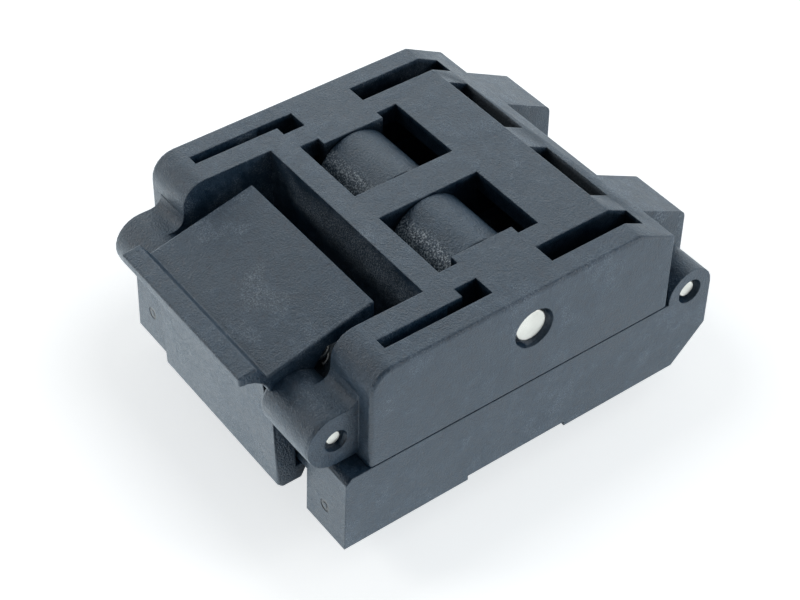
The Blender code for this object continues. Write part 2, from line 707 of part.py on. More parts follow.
def lug_outline():
    """Side view of the web from the lid's arm to a latch barrel."""
    radius = BARREL_RADIUS - LUG_STEP
    root = back(-LID_FRONT + LID_NOSE_RADIUS / 2)
    fillet_z = LATCH_Z + radius + LUG_FILLET
    lean = (fillet_z - LID_BOTTOM) / (LID_TOP - LID_NOSE_RADIUS - LID_BOTTOM)
    fillet = (back(-LID_FRONT) + LID_FRONT_DRAFT * lean - LUG_STEP - LUG_FILLET, fillet_z)
    points = arc((LATCH_Y, LATCH_Z), radius, 270.0, 90.0, 14)
    points += arc(fillet, LUG_FILLET, 270.0, 360.0, 4)
    points += [(root, fillet_z), (root, LATCH_Z - radius)]
    return points


def latch_opening():
    """Side view of the space for the latch, between the lid's arms and over its shelf."""
    return [
        (back(-FAR), height(-FAR)),
        (back(-SHELF_FRONT), height(-FAR)),
        (back(-SHELF_FRONT), SHELF_TOP),
        (back(-RECESS_FRONT), SHELF_TOP),
        (back(-RECESS_FRONT), height(FAR)),
        (back(-FAR), height(FAR)),
    ]


def room_plan(outer, front, rear):
    """Plan of the room beside the middle rib, round the boss that carries the axle."""
    tab = WINDOW_OUTER - TAB_WIDTH
    return [
        (WINDOW_INNER, back(-front)),
        (outer, back(-front)),
        (outer, back(-TAB_FRONT)),
        (tab, back(-TAB_FRONT)),
        (tab, back(TAB_BACK)),
        (outer, back(TAB_BACK)),
        (outer, back(rear)),
        (WINDOW_INNER, back(rear)),
    ]


def window(side):
    plan = across(side, room_plan(WINDOW_OUTER, WINDOW_FRONT, WINDOW_BACK))
    return extrude(plan, LID_TOP - LID_TOP_WALL - SEAT_GAP, height(FAR), "Z")


def cavity_room(side):
    """The upper part of the hollow under the lid, on one side of its rib."""
    plan = across(side, room_plan(CAVITY_HALF, CAVITY_FRONT, CAVITY_BACK))
    return extrude(plan, height(RIB_BOTTOM_HEIGHT) - SEAT_GAP, LID_TOP - LID_TOP_WALL, "Z")


def side_slot(side):
    outer = HALF_WIDTH - SIDE_SLOT_FROM_EDGE
    x = span(side, outer - SIDE_SLOT_WIDTH, outer)
    return block(x, (back(SIDE_SLOT_FRONT), back(SIDE_SLOT_BACK)), (SLOT_BOTTOM, height(FAR)))


def rear_slot(side):
    x = span(side, REAR_SLOT_INNER, REAR_SLOT_OUTER)
    return block(x, (back(REAR_SLOT_FRONT), back(REAR_SLOT_BACK)), (SLOT_BOTTOM, height(FAR)))


def front_slot(side):
    outer = HALF_WIDTH - FRONT_SLOT_FROM_EDGE
    plan = [
        (outer - FRONT_SLOT_WIDTH, back(-FRONT_SLOT_FRONT)),
        (outer, back(-FRONT_SLOT_FRONT)),
        (outer, back(-FRONT_SLOT_BACK)),
        (outer - FRONT_SLOT_WIDE, back(-FRONT_SLOT_BACK)),
        (outer - FRONT_SLOT_WIDE, back(-FRONT_SLOT_STEP)),
        (outer - FRONT_SLOT_WIDTH, back(-FRONT_SLOT_STEP)),
    ]
    return extrude(across(side, plan), SLOT_BOTTOM, height(FAR), "Z")


def lid_soft_edge(edge):
    """True for the lid block's edges along its sides, above the seam."""
    ends = [v.co for v in edge.verts]
    on_side = all(abs(abs(v.x) - HALF_WIDTH) < 1e-6 for v in ends)
    along = abs(ends[0].x - ends[1].x) < 1e-6
    return on_side and along and max(v.z for v in ends) > LID_BOTTOM + LID_EDGE


def make_lid(hinge):
    shape = extrude(lid_outline(), -HALF_WIDTH, HALF_WIDTH, "X")
    bevel_where(shape, LID_EDGE, 3, lid_soft_edge)
    lid = new_object("lid_housing", shape, "moulded_black", (0.0, PIN_Y, PIN_Z), hinge)
    combine(lid, "DIFFERENCE", "lid_latch_opening", [extrude(latch_opening(), -RECESS_HALF, RECESS_HALF, "X")])
    arms = both_sides(lambda s: extrude(arm_outline(), *span(s, ARM_INNER, ARM_OUTER), "X"))
    combine(lid, "UNION", "lid_hinge_arms", arms)
    lug_range = (RECESS_HALF, BARREL_OUTER - LUG_STEP)
    lugs = both_sides(lambda s: extrude(lug_outline(), *span(s, *lug_range), "X"))
    combine(lid, "UNION", "lid_lugs", lugs)
    barrels = both_sides(lambda s: rod((LATCH_Y, LATCH_Z), BARREL_RADIUS, *span(s, BARREL_INNER, BARREL_OUTER)))
    for barrel in barrels:
        bevel_where(barrel, BARREL_EDGE, 2, lambda e: sharp(e, 60.0))
    combine(lid, "UNION", "lid_barrels", barrels)
    boss_y = LATCH_Y + LATCH_SPRING_BACK
    boss_top = SHELF_TOP + SPRING_BOSS_HEIGHT
    boss_low = LID_BOTTOM + SHELF_WALL / 2
    bosses = both_sides(
        lambda s: rod((s * LATCH_SPRING_SIDE, boss_y), SPRING_BOSS_RADIUS, boss_low, boss_top, "Z", 16)
    )
    combine(lid, "UNION", "lid_spring_bosses", bosses)
    y_range = (back(-CAVITY_FRONT), back(CAVITY_BACK))
    cavity = block((-CAVITY_HALF, CAVITY_HALF), y_range, (height(0.0), height(RIB_BOTTOM_HEIGHT)))
    combine(lid, "DIFFERENCE", "lid_cavity", [cavity])
    combine(lid, "DIFFERENCE", "lid_cavity_rooms", both_sides(cavity_room))
    pockets = both_sides(window) + both_sides(side_slot) + both_sides(rear_slot) + both_sides(front_slot)
    combine(lid, "DIFFERENCE", "lid_openings", pockets)
    axle_bore = rod((SEAT_Y, AXLE_Z), AXLE_RADIUS + PIN_GAP, -FAR, FAR)
    hinge_bore = rod((PIN_Y, PIN_Z), HINGE_PIN_RADIUS + PIN_GAP, -FAR, FAR)
    latch_bore = rod((LATCH_Y, LATCH_Z), LATCH_PIN_RADIUS + PIN_GAP, -FAR, FAR)
    combine(lid, "DIFFERENCE", "lid_bores", [axle_bore, hinge_bore, latch_bore])
    axle_mouth = HALF_WIDTH - AXLE_HOLE_DEPTH
    latch_mouth = BARREL_OUTER - LATCH_HOLE_DEPTH
    mouths = both_sides(lambda s: rod((SEAT_Y, AXLE_Z), AXLE_HOLE_RADIUS, *span(s, axle_mouth, FAR)))
    mouths += both_sides(lambda s: rod((LATCH_Y, LATCH_Z), LATCH_HOLE_RADIUS, *span(s, latch_mouth, FAR)))
    combine(lid, "DIFFERENCE", "lid_mouths", mouths)
    round_shading(lid)


def make_lid_pins(hinge):
    axle_end = HALF_WIDTH - AXLE_INSET
    axle = rod((SEAT_Y, AXLE_Z), AXLE_RADIUS, -axle_end, axle_end)
    bevel_where(axle, AXLE_RADIUS * 0.1, 1, lambda e: sharp(e, 60.0))
    round_shading(new_object("pad_axle", axle, "bright_steel", (0.0, SEAT_Y, AXLE_Z), hinge), 30.0)
    pin_end = BARREL_OUTER - LATCH_PIN_INSET
    pin = rod((LATCH_Y, LATCH_Z), LATCH_PIN_RADIUS, -pin_end, pin_end)
    bevel_where(pin, LATCH_PIN_RADIUS * 0.15, 1, lambda e: sharp(e, 60.0))
    round_shading(new_object("latch_pin", pin, "bright_steel", (0.0, LATCH_Y, LATCH_Z), hinge), 30.0)


def blade(side):
    """One of the pad's four blades, which press the leads on a side."""
    low = height(BLADE_TIP_HEIGHT)
    high = height(PAD_BOTTOM_HEIGHT) + SEAT_GAP
    shape = block((-BLADE_HALF, BLADE_HALF), (back(-BLADE_OUT), back(-BLADE_IN)), (low, high))
    return turned(shape, side)


def knuckle(side):
    """A round knuckle of the pad about its axle, standing on the pad's plate."""
    low = height(PAD_BOTTOM_HEIGHT + PAD_THICK) - SEAT_GAP
    points = arc((SEAT_Y, AXLE_Z), KNUCKLE_RADIUS, 180.0, 0.0, 20)
    points += [(SEAT_Y + KNUCKLE_RADIUS, low), (SEAT_Y - KNUCKLE_RADIUS, low)]
    inner = WINDOW_INNER + KNUCKLE_SIDE_GAP
    outer = WINDOW_OUTER - TAB_WIDTH - KNUCKLE_SIDE_GAP
    return extrude(points, *span(side, inner, outer), "X")


def make_pad(rock):
    low, high = height(PAD_BOTTOM_HEIGHT), height(PAD_BOTTOM_HEIGHT + PAD_THICK)
    plate = block((-PAD_HALF_WIDTH, PAD_HALF_WIDTH), (back(-PAD_HALF_LENGTH), back(PAD_HALF_LENGTH)), (low, high))
    bevel_where(plate, PAD_EDGE, 2, lambda e: sharp(e) and max(v.co.z for v in e.verts) > high - SEAT_GAP)
    pad = new_object("pressure_pad", plate, "pad_black", (0.0, SEAT_Y, AXLE_Z), rock)
    combine(pad, "UNION", "pad_knuckles", both_sides(knuckle))
    seat = (back(-PAD_RECESS_HALF), back(PAD_RECESS_HALF))
    recess = block((-PAD_RECESS_HALF, PAD_RECESS_HALF), seat, (height(0.0), low + PAD_RECESS_DEPTH))
    combine(pad, "DIFFERENCE", "pad_recess", [recess])
    combine(pad, "UNION", "pad_blades", [blade(side) for side in SIDE_TURNS])
    bore = rod((SEAT_Y, AXLE_Z), AXLE_RADIUS + PIN_GAP, -FAR, FAR)
    combine(pad, "DIFFERENCE", "pad_bore", [bore])
    round_shading(pad)


def latch_outline():
    """Side view of the latch: thumb plate, lip, wall and hook, from its pin's axis."""
    groove_z = PLATE_HEIGHT - (PLATE_BACK + GROOVE_FRONT) * tan(PLATE_SLOPE)
    wall_back = -WALL_FRONT + WALL_THICK
    hook_top = -HOOK_DROP + HOOK_THICK
    tip = wall_back + HOOK_ENGAGE + CATCH_GAP
    lip_low = LIP_HEIGHT - LIP_THICK
    scoop = LIP_FRONT - WALL_FRONT
    points = [
        (PLATE_BACK, PLATE_HEIGHT),
        (-GROOVE_FRONT, groove_z),
        (-LIP_BACK, LIP_HEIGHT),
        (-LIP_FRONT, LIP_HEIGHT - LUG_STEP * 4),
        (-LIP_FRONT, lip_low),
    ]
    points += arc((-LIP_FRONT, lip_low - scoop), scoop, 75.0, 15.0, 4)
    points += [
        (-WALL_FRONT, lip_low - scoop),
        (-WALL_FRONT, -HOOK_DROP + HOOK_ROUND),
        (-WALL_FRONT + HOOK_ROUND, -HOOK_DROP),
        (wall_back + HOOK_ROUND, -HOOK_DROP),
        (tip, hook_top - HOOK_ROUND),
        (tip, hook_top),
        (wall_back, hook_top),
        (wall_back, -HUB_RADIUS),
    ]
    points += arc((0.0, 0.0), HUB_RADIUS, -80.0, 40.0, 8)
    points += [(HUB_RADIUS * 1.6, PLATE_UNDERSIDE), (PLATE_BACK, PLATE_UNDERSIDE)]
    return [(LATCH_Y + y, LATCH_Z + z) for y, z in points]


def make_latch(pivot):
    shape = extrude(latch_outline(), -LATCH_HALF, LATCH_HALF, "X")
    bevel_where(shape, LATCH_EDGE, 2, lambda e: all(abs(abs(v.co.x) - LATCH_HALF) < 1e-6 for v in e.verts))
    latch = new_object("latch", shape, "moulded_black", (0.0, LATCH_Y, LATCH_Z), pivot)
    clear = BARREL_RADIUS + BARREL_ROUND_GAP
    reliefs = both_sides(lambda s: rod((LATCH_Y, LATCH_Z), clear, *span(s, LATCH_HUB_HALF, FAR)))
    combine(latch, "DIFFERENCE", "latch_barrel_reliefs", reliefs)
    bore = rod((LATCH_Y, LATCH_Z), LATCH_PIN_RADIUS + PIN_GAP, -FAR, FAR)
    combine(latch, "DIFFERENCE", "latch_bore", [bore])
    round_shading(latch)


def make_latch_springs(hinge):
    """Two coil springs between the lid's shelf and the thumb plate."""
    low = SHELF_TOP + SEAT_GAP + LATCH_SPRING_WIRE / 2
    high = PLATE_UNDER_Z - SEAT_GAP - LATCH_SPRING_WIRE / 2
    middle_y = LATCH_Y + LATCH_SPRING_BACK
    steps = LATCH_SPRING_TURNS * COIL_POINTS
    for name, side in (("left", -1), ("right", 1)):
        points = []
        for i in range(steps + 1):
            a = 2 * pi * i / COIL_POINTS
            x = side * LATCH_SPRING_SIDE + LATCH_SPRING_RADIUS * cos(a)
            points.append((x, middle_y + LATCH_SPRING_RADIUS * sin(a), low + (high - low) * i / steps))
        foot = (side * LATCH_SPRING_SIDE, middle_y, SHELF_TOP)
        wire(f"latch_spring_{name}", points, LATCH_SPRING_WIRE, 1, "spring_steel", foot, hinge)


def main():
    clear_scene()
    make_base()
    make_contacts()
    make_nest()
    make_hinge_pin()
    make_hinge_spring()
    hinge = pivot_empty("lid_hinge", (0.0, PIN_Y, PIN_Z))
    make_lid(hinge)
    make_lid_pins(hinge)
    make_latch_springs(hinge)
    make_pad(pivot_empty("pad_rock", (0.0, SEAT_Y, AXLE_Z), hinge))
    make_latch(pivot_empty("latch_pivot", (0.0, LATCH_Y, LATCH_Z), hinge))


if __name__ == "__main__":
    main()
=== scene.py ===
"""Looks for a clamshell test socket: plastic, ground pins, wire springs and plated contacts.

It is laid out as an add-on and run as a script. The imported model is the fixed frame: its
pieces keep their shape and get their finishes here, and the round metal is drawn again
with smooth surfaces.
"""

import json
from functools import partial
from math import pi, radians

import bmesh
import bpy
import numpy as np
from mathutils import Matrix, Vector


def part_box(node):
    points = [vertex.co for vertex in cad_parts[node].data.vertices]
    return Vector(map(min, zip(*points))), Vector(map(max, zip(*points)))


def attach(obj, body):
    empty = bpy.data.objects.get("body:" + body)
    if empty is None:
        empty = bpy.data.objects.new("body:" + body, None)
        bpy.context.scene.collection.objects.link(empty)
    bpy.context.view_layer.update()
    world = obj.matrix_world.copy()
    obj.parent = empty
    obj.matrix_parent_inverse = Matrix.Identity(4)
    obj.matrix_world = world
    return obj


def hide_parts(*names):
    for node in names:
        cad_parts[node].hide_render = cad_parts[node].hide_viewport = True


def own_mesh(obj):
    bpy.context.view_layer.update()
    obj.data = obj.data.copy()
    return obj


bl_info = {
    "name": "Clamshell Test Socket",
    "version": (1, 0, 0),
    "blender": (4, 5, 0),
    "location": "3D View > Sidebar > Test Socket",
    "description": "Finishes, pins, springs and stage for a clamshell test socket",
    "category": "Object",
}

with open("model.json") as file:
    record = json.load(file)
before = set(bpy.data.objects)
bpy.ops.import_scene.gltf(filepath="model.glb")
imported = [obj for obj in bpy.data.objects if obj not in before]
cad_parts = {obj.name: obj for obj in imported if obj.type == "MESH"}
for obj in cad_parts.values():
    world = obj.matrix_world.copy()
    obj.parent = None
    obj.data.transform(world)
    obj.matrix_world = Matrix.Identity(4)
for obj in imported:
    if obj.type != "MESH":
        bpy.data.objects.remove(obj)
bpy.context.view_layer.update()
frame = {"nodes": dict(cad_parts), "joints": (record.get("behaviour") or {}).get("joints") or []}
NODES = frame["nodes"]
HOUSINGS = {
    "base_housing": "base",
    "lid_housing": "lid",
    "latch": "latch",
    "package_nest": "base",
}
PINS = {"hinge_pin": "base", "pad_axle": "lid", "latch_pin": "lid"}
CONTACTS = sorted(name for name in NODES if name.startswith("contact_"))
MM = 0.001
HINGE = Vector(next(j["pos_m"] for j in frame["joints"] if j["name"] == "lid_hinge"))
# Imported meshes: the distance over which corners are welded, in metres, the turn up to which
# faces are joined as flat, and the turn over which an edge stays sharp.
WELD, FLAT, SHARP = 0.5e-6, radians(0.3), radians(35.0)

# The camera that was solved on the photograph: focal length and picture width in pixels, its
# turn as a rotation vector, a point of the object as it lies before the lens and as it lies in
# the frame, both in mm, and the width of the sensor in mm.
FOCAL_PIXELS, PICTURE_PIXELS = 1814.98, 800
CAMERA_TURN = Vector((2.119711, 1.076035, -0.464751))
BEFORE_LENS = Vector((-4.42577, 5.93752, 148.27001))
IN_FRAME = Vector((0.0, -5.47, 3.0))
SENSOR = 36.0

# Where the lid's top starts to fall to the rear and how steeply, the box that holds its
# pockets, and the depths over which the painted shade on a pocket's walls grows.
LID_SLOPE_START, LID_SLOPE = 11.46 * MM, 0.516
POCKETS_X, POCKETS_Y, POCKETS_Z = 13.3 * MM, (-4.6 * MM, 13.6 * MM), 15.0 * MM
POCKET_SHADE_DEPTHS = (0.02 * MM, 0.5 * MM)

# Hinge spring: where a coil starts beside the middle, its pitch and whole turns, the height of
# the bar over the pin's axis, and the spacing and the blend of the wire's path.
COIL_START, COIL_PITCH, COIL_TURNS = 1.2 * MM, 0.82 * MM, 4
BAR_HEIGHT = -0.8 * MM
WIRE_STEP, WIRE_BEND = 0.12 * MM, 0.7 * MM

# Plastic: its specular level, the neutral pale colour of its specks and flecks, and the scales
# of the two broad noises, per metre.
SPECULAR = 0.75
PALE = (0.165, 0.174, 0.18)
PATCH_SCALE, CLOUD_SCALE = 560.0, 150.0
# Metal: the scales of its lines and of its tarnish, per metre.
LINE_SCALE, TARNISH_SCALE = 9000.0, 900.0

# Sweep, in metres: radius of its bend, where the bend starts behind the object, how far the
# floor comes forward, half its width, its height, and its turn from the front.
BEND, BEND_START, FORWARD, HALF_WIDTH, HEIGHT = 0.25, 0.35, -1.2, 1.5, 1.2
SWEEP_TURN = radians(54.0)
# The shadow round the foot: how far inside the base's outline it starts, the reach and depth of
# its part in reflections, and the reach and change of the part that the camera sees.
FOOT_INSET = 2.0 * MM
SHADE_REACH, SHADE_LEFT = 3.0 * MM, 0.15
GLOW_REACH, GLOW_CHANGE = (6.0 * MM, 14.0 * MM), (-0.05, 0.13)
SEEN_TINT, SHINE_TINT = (0.96, 0.985, 1.0, 1.0), (0.86, 0.955, 1.0, 1.0)

# Lamps: name, place, width and height in metres, and colour; both point at a place over the floor.
FRONT_LAMP = ("front_lamp", (-0.43, -0.49, 0.39), (0.26, 0.2), (1.0, 0.985, 0.96))
RIGHT_LAMP = ("right_lamp", (0.42, 0.5, 0.2), (0.3, 0.24), (0.95, 0.98, 1.0))
LAMP_AIM = (0.0, 0.0, 0.01)
LAMP_SHINE = 0.45
ROOM_TINT = (0.88, 0.955, 1.0, 1.0)

ROUND = (1.0, 1.0, 1.0)
# Places of wear, of painted light and of the mould's marks: centre, stretch, radius and band in mm,
# and strength.
WEAR_AND_LIGHT_SPOTS = [
    ((1.2, -12.9, 17.8), ROUND, 1.6, 1.8, 1.1),  # thumb mark on the latch plate
    ((1.3, -11.1, 18.2), ROUND, 1.4, 0.9, -1.5),
    ((-6.2, -11.5, 18.2), (0.6, 1.0, 1.0), 0.8, 2.9, 0.35),
    ((3.5, -16.6, 16.8), (0.5, 1.0, 1.0), 0.5, 2.4, 0.35),
    ((11.6, -12.6, 19.2), (0.6, 1.0, 1.0), 0.7, 1.6, 0.15),  # noses of the lid's front arms
    ((-12.6, -12.4, 19.3), (0.6, 1.0, 1.0), 0.6, 1.2, 0.25),
    ((11.6, -16.6, 15.4), ROUND, 0.6, 1.6, 0.4),  # barrels round the latch pin
    ((-12.2, -16.4, 15.6), ROUND, 0.5, 1.4, 0.3),
    # Painted light: pale specks brightened on the upper band of the recess's rear wall, where light
    # falls in.
    ((2.0, -5.2, 17.3), (0.22, 1.0, 1.0), 1.2, 1.6, 2.0),  # upper part of the recess's rear wall
    ((15.0, -11.2, 16.0), ROUND, 0.3, 2.6, 0.35),  # right side of the lid
    ((15.0, -7.2, 17.4), ROUND, 0.1, 2.2, 0.3),
    ((-9.0, -17.4, 8.0), (0.5, 1.0, 0.6), 0.8, 4.5, 0.4),  # front of the latch
    ((-3.5, 18.2, 16.0), (0.6, 1.0, 1.0), 0.5, 3.0, 0.4),  # rear arms
    ((11.0, 18.2, 16.0), (0.6, 1.0, 1.0), 0.5, 3.0, 0.4),
]
MOULD_MARKS = [
    ((12.41, -15.94, 5.55), ROUND, 0.42, 0.2, 1.0),  # shallow rings on the base's front
    ((12.41, -15.94, 5.55), ROUND, 0.16, 0.16, -0.9),
    ((-12.61, -15.92, 5.92), ROUND, 0.42, 0.2, 1.0),
    ((-12.61, -15.92, 5.92), ROUND, 0.16, 0.16, -0.9),
]
PAD_SPECK_AND_HIGHLIGHT_SPOTS = [
    # Painted highlight over pale worn specks: the knuckles' fronts are brightened where light falls
    # on them.
    ((0.0, -1.5, 18.0), (0.05, 1.0, 1.0), 0.7, 0.9, 2.6),  # fronts of the pad's knuckles
    ((5.6, -1.4, 18.2), (0.5, 1.0, 1.0), 0.7, 1.2, 1.6),
    ((-4.4, -1.4, 18.2), ROUND, 0.4, 1.4, 1.0),
]


class SocketPlastic(bpy.types.PropertyGroup):
    housing: bpy.props.FloatVectorProperty(
        name="Housing colour",
        description="Moulded plastic of the base, the lid and the latch",
        subtype="COLOR",
        size=3,
        default=(0.0115, 0.035, 0.066),
    )
    pad: bpy.props.FloatVectorProperty(
        name="Pad colour",
        description="Filled plastic of the pressure pad",
        subtype="COLOR",
        size=3,
        default=(0.0135, 0.038, 0.069),
    )
    roughness: bpy.props.FloatProperty(
        name="Roughness",
        description="Roughness of the moulded skin",
        default=0.44,
        min=0.0,
        max=1.0,
    )
    grain: bpy.props.FloatProperty(
        name="Grain size",
        description="Size of one fleck of the moulded grain",
        default=0.15 * MM,
        unit="LENGTH",
    )
    grain_depth: bpy.props.FloatProperty(
        name="Grain depth",
        description="Height of the moulded grain",
        default=0.045 * MM,
        unit="LENGTH",
    )
    edge: bpy.props.FloatProperty(
        name="Edge radius",
        description="Softness of the moulded edges",
        default=0.14 * MM,
        unit="LENGTH",
    )


class SocketMetal(bpy.types.PropertyGroup):
    steel: bpy.props.FloatVectorProperty(
        name="Pin colour",
        description="Ground steel of the pins",
        subtype="COLOR",
        size=3,
        default=(0.76, 0.735, 0.68),
    )
    wire: bpy.props.FloatVectorProperty(
        name="Spring colour",
        description="Drawn spring wire",
        subtype="COLOR",
        size=3,
        default=(0.56, 0.55, 0.53),
    )
    gold: bpy.props.FloatVectorProperty(
        name="Contact colour",
        description="Plating of the contacts",
        subtype="COLOR",
        size=3,
        default=(0.9, 0.66, 0.28),
    )
    pin_round: bpy.props.FloatProperty(
        name="Pin end rounding",
        description="Radius round a pin's end, as a share of its own",
        default=0.16,
    )
    hinge_wire: bpy.props.FloatProperty(
        name="Hinge spring wire",
        description="Diameter of the hinge spring's wire",
        default=0.6 * MM,
        unit="LENGTH",
    )
    latch_wire: bpy.props.FloatProperty(
        name="Latch spring wire",
        description="Diameter of a latch spring's wire",
        default=0.36 * MM,
        unit="LENGTH",
    )
    latch_turns: bpy.props.FloatProperty(
        name="Latch spring turns",
        description="Turns in each latch spring",
        default=5.0,
    )


class SocketStage(bpy.types.PropertyGroup):
    floor: bpy.props.FloatVectorProperty(
        name="Floor colour",
        description="Pale studio sweep",
        subtype="COLOR",
        size=3,
        default=(0.84, 0.82, 0.8),
    )
    floor_glow: bpy.props.FloatProperty(
        name="Floor glow",
        description="Light added to the floor as the camera sees it",
        default=0.67,
    )
    floor_shine: bpy.props.FloatProperty(
        name="Floor shine",
        description="Light added to the floor in reflections",
        default=1.0,
    )
    front_shine: bpy.props.FloatProperty(
        name="Front shine",
        description="Extra light of the floor in front, in reflections",
        default=0.8,
    )
    back_low: bpy.props.FloatProperty(
        name="Low backdrop shine",
        description="Light added to the backdrop's foot in reflections",
        default=0.98,
    )
    back_high: bpy.props.FloatProperty(
        name="High backdrop shine",
        description="Light added to the backdrop's top in reflections",
        default=0.88,
    )
    key: bpy.props.FloatProperty(
        name="Key lamp", description="Power of the front lamp", default=1.0, unit="POWER"
    )
    side: bpy.props.FloatProperty(
        name="Side lamp", description="Power of the right lamp", default=1.7, unit="POWER"
    )
    walls: bpy.props.FloatProperty(
        name="Wall light",
        description="Strength of the room's light from its walls",
        default=0.1,
    )
    ceiling: bpy.props.FloatProperty(
        name="Ceiling light",
        description="Strength of the room's light from above",
        default=0.46,
    )


def socket(tree, name, kind, direction, default=None):
    """Add one named socket to a node group."""
    made = tree.interface.new_socket(name=name, in_out=direction, socket_type=kind)
    if default is not None:
        made.default_value = default


def put(tree, value, slot):
    """Link a node's output to an input, or give the input a value."""
    if isinstance(value, bpy.types.NodeSocket):
        tree.links.new(value, slot)
    else:
        slot.default_value = value


def math_node(tree, operation, a, b=0.0, c=0.0, clamp=False):
    """One Math node; each of a, b and c is a number or a socket."""
    step = tree.nodes.new("ShaderNodeMath")
    step.operation = operation
    step.use_clamp = clamp
    for slot, value in zip(step.inputs, (a, b, c)):
        put(tree, value, slot)
    return step.outputs[0]


def weighted_sum(tree, start, *terms):
    """Start plus each term's value times its share."""
    total = start
    for value, share in terms:
        total = math_node(tree, "MULTIPLY_ADD", value, share, total)
    return total


def vector_node(tree, operation, a, b=(0.0, 0.0, 0.0)):
    """One Vector Math node; a and b are each a vector or a socket, and b is a factor to SCALE."""
    step = tree.nodes.new("ShaderNodeVectorMath")
    step.operation = operation
    put(tree, a, step.inputs[0])
    put(tree, b, step.inputs["Scale" if operation == "SCALE" else 1])
    return step.outputs["Value" if operation in ("LENGTH", "DOT_PRODUCT") else "Vector"]


def noise_node(tree, vector, scale, detail, rough, distortion=0.0):
    """One Noise Texture node; scale is a number or a socket."""
    texture = tree.nodes.new("ShaderNodeTexNoise")
    values = {"Vector": vector, "Scale": scale, "Detail": detail, "Roughness": rough}
    for name, value in values.items():
        put(tree, value, texture.inputs[name])
    texture.inputs["Distortion"].default_value = distortion
    return texture.outputs["Fac"]


def mapped(tree, value, low, high, start=0.0, end=1.0, smooth=False):
    """One clamped Map Range node: start at low and before it, end at high and past it."""
    step = tree.nodes.new("ShaderNodeMapRange")
    if smooth:
        step.interpolation_type = "SMOOTHSTEP"
    for slot, given in zip(step.inputs, (value, low, high, start, end)):
        put(tree, given, slot)
    return step.outputs["Result"]


def object_place(tree):
    """Coordinates in the object's own frame."""
    return tree.nodes.new("ShaderNodeTexCoord").outputs["Object"]


def parted(tree, vector):
    """The three parts of a vector, by X, Y and Z."""
    split = tree.nodes.new("ShaderNodeSeparateXYZ")
    tree.links.new(vector, split.inputs["Vector"])
    return split.outputs


def spot_group():
    """A soft spot: 1 within a radius of a place, falling smoothly to 0 over a band.

    Distance is the length of (place - centre) times a stretch, so a spot can be a long band.
    """
    if "soft_spot" in bpy.data.node_groups:
        return bpy.data.node_groups["soft_spot"]
    tree = bpy.data.node_groups.new("soft_spot", "ShaderNodeTree")
    socket(tree, "Centre", "NodeSocketVector", "INPUT")
    socket(tree, "Stretch", "NodeSocketVector", "INPUT", ROUND)
    socket(tree, "Radius", "NodeSocketFloat", "INPUT", 1.0 * MM)
    socket(tree, "Band", "NodeSocketFloat", "INPUT", 0.5 * MM)
    socket(tree, "Mask", "NodeSocketFloat", "OUTPUT")
    given = tree.nodes.new("NodeGroupInput").outputs
    out = tree.nodes.new("NodeGroupOutput").inputs
    away = vector_node(tree, "SUBTRACT", object_place(tree), given["Centre"])
    far = vector_node(tree, "LENGTH", vector_node(tree, "MULTIPLY", away, given["Stretch"]))
    end = math_node(tree, "ADD", given["Radius"], given["Band"])
    tree.links.new(mapped(tree, far, given["Radius"], end, 1.0, 0.0, smooth=True), out["Mask"])
    return tree


def pocket_shade_mask(tree):
    """Painted shade: 1 on the walls of the windows and slots in the lid's top, growing from 0
    at their rims.

    Depth is the height of the lid's top there, level and then falling to the rear, less z.
    """
    calc = partial(math_node, tree)
    place = parted(tree, object_place(tree))
    past = calc("MAXIMUM", calc("SUBTRACT", place["Y"], LID_SLOPE_START), 0.0)
    under = calc("MULTIPLY_ADD", past, LID_SLOPE, place["Z"])
    depth = calc("SUBTRACT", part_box("lid_housing")[1][2], under)
    mask = mapped(tree, depth, *POCKET_SHADE_DEPTHS)
    along = calc("ABSOLUTE", calc("SUBTRACT", place["Y"], sum(POCKETS_Y) / 2))
    for inside in (
        calc("LESS_THAN", calc("ABSOLUTE", place["X"]), POCKETS_X),
        calc("LESS_THAN", along, (POCKETS_Y[1] - POCKETS_Y[0]) / 2),
        calc("GREATER_THAN", place["Z"], POCKETS_Z),
    ):
        mask = calc("MULTIPLY", mask, inside)
    return mask


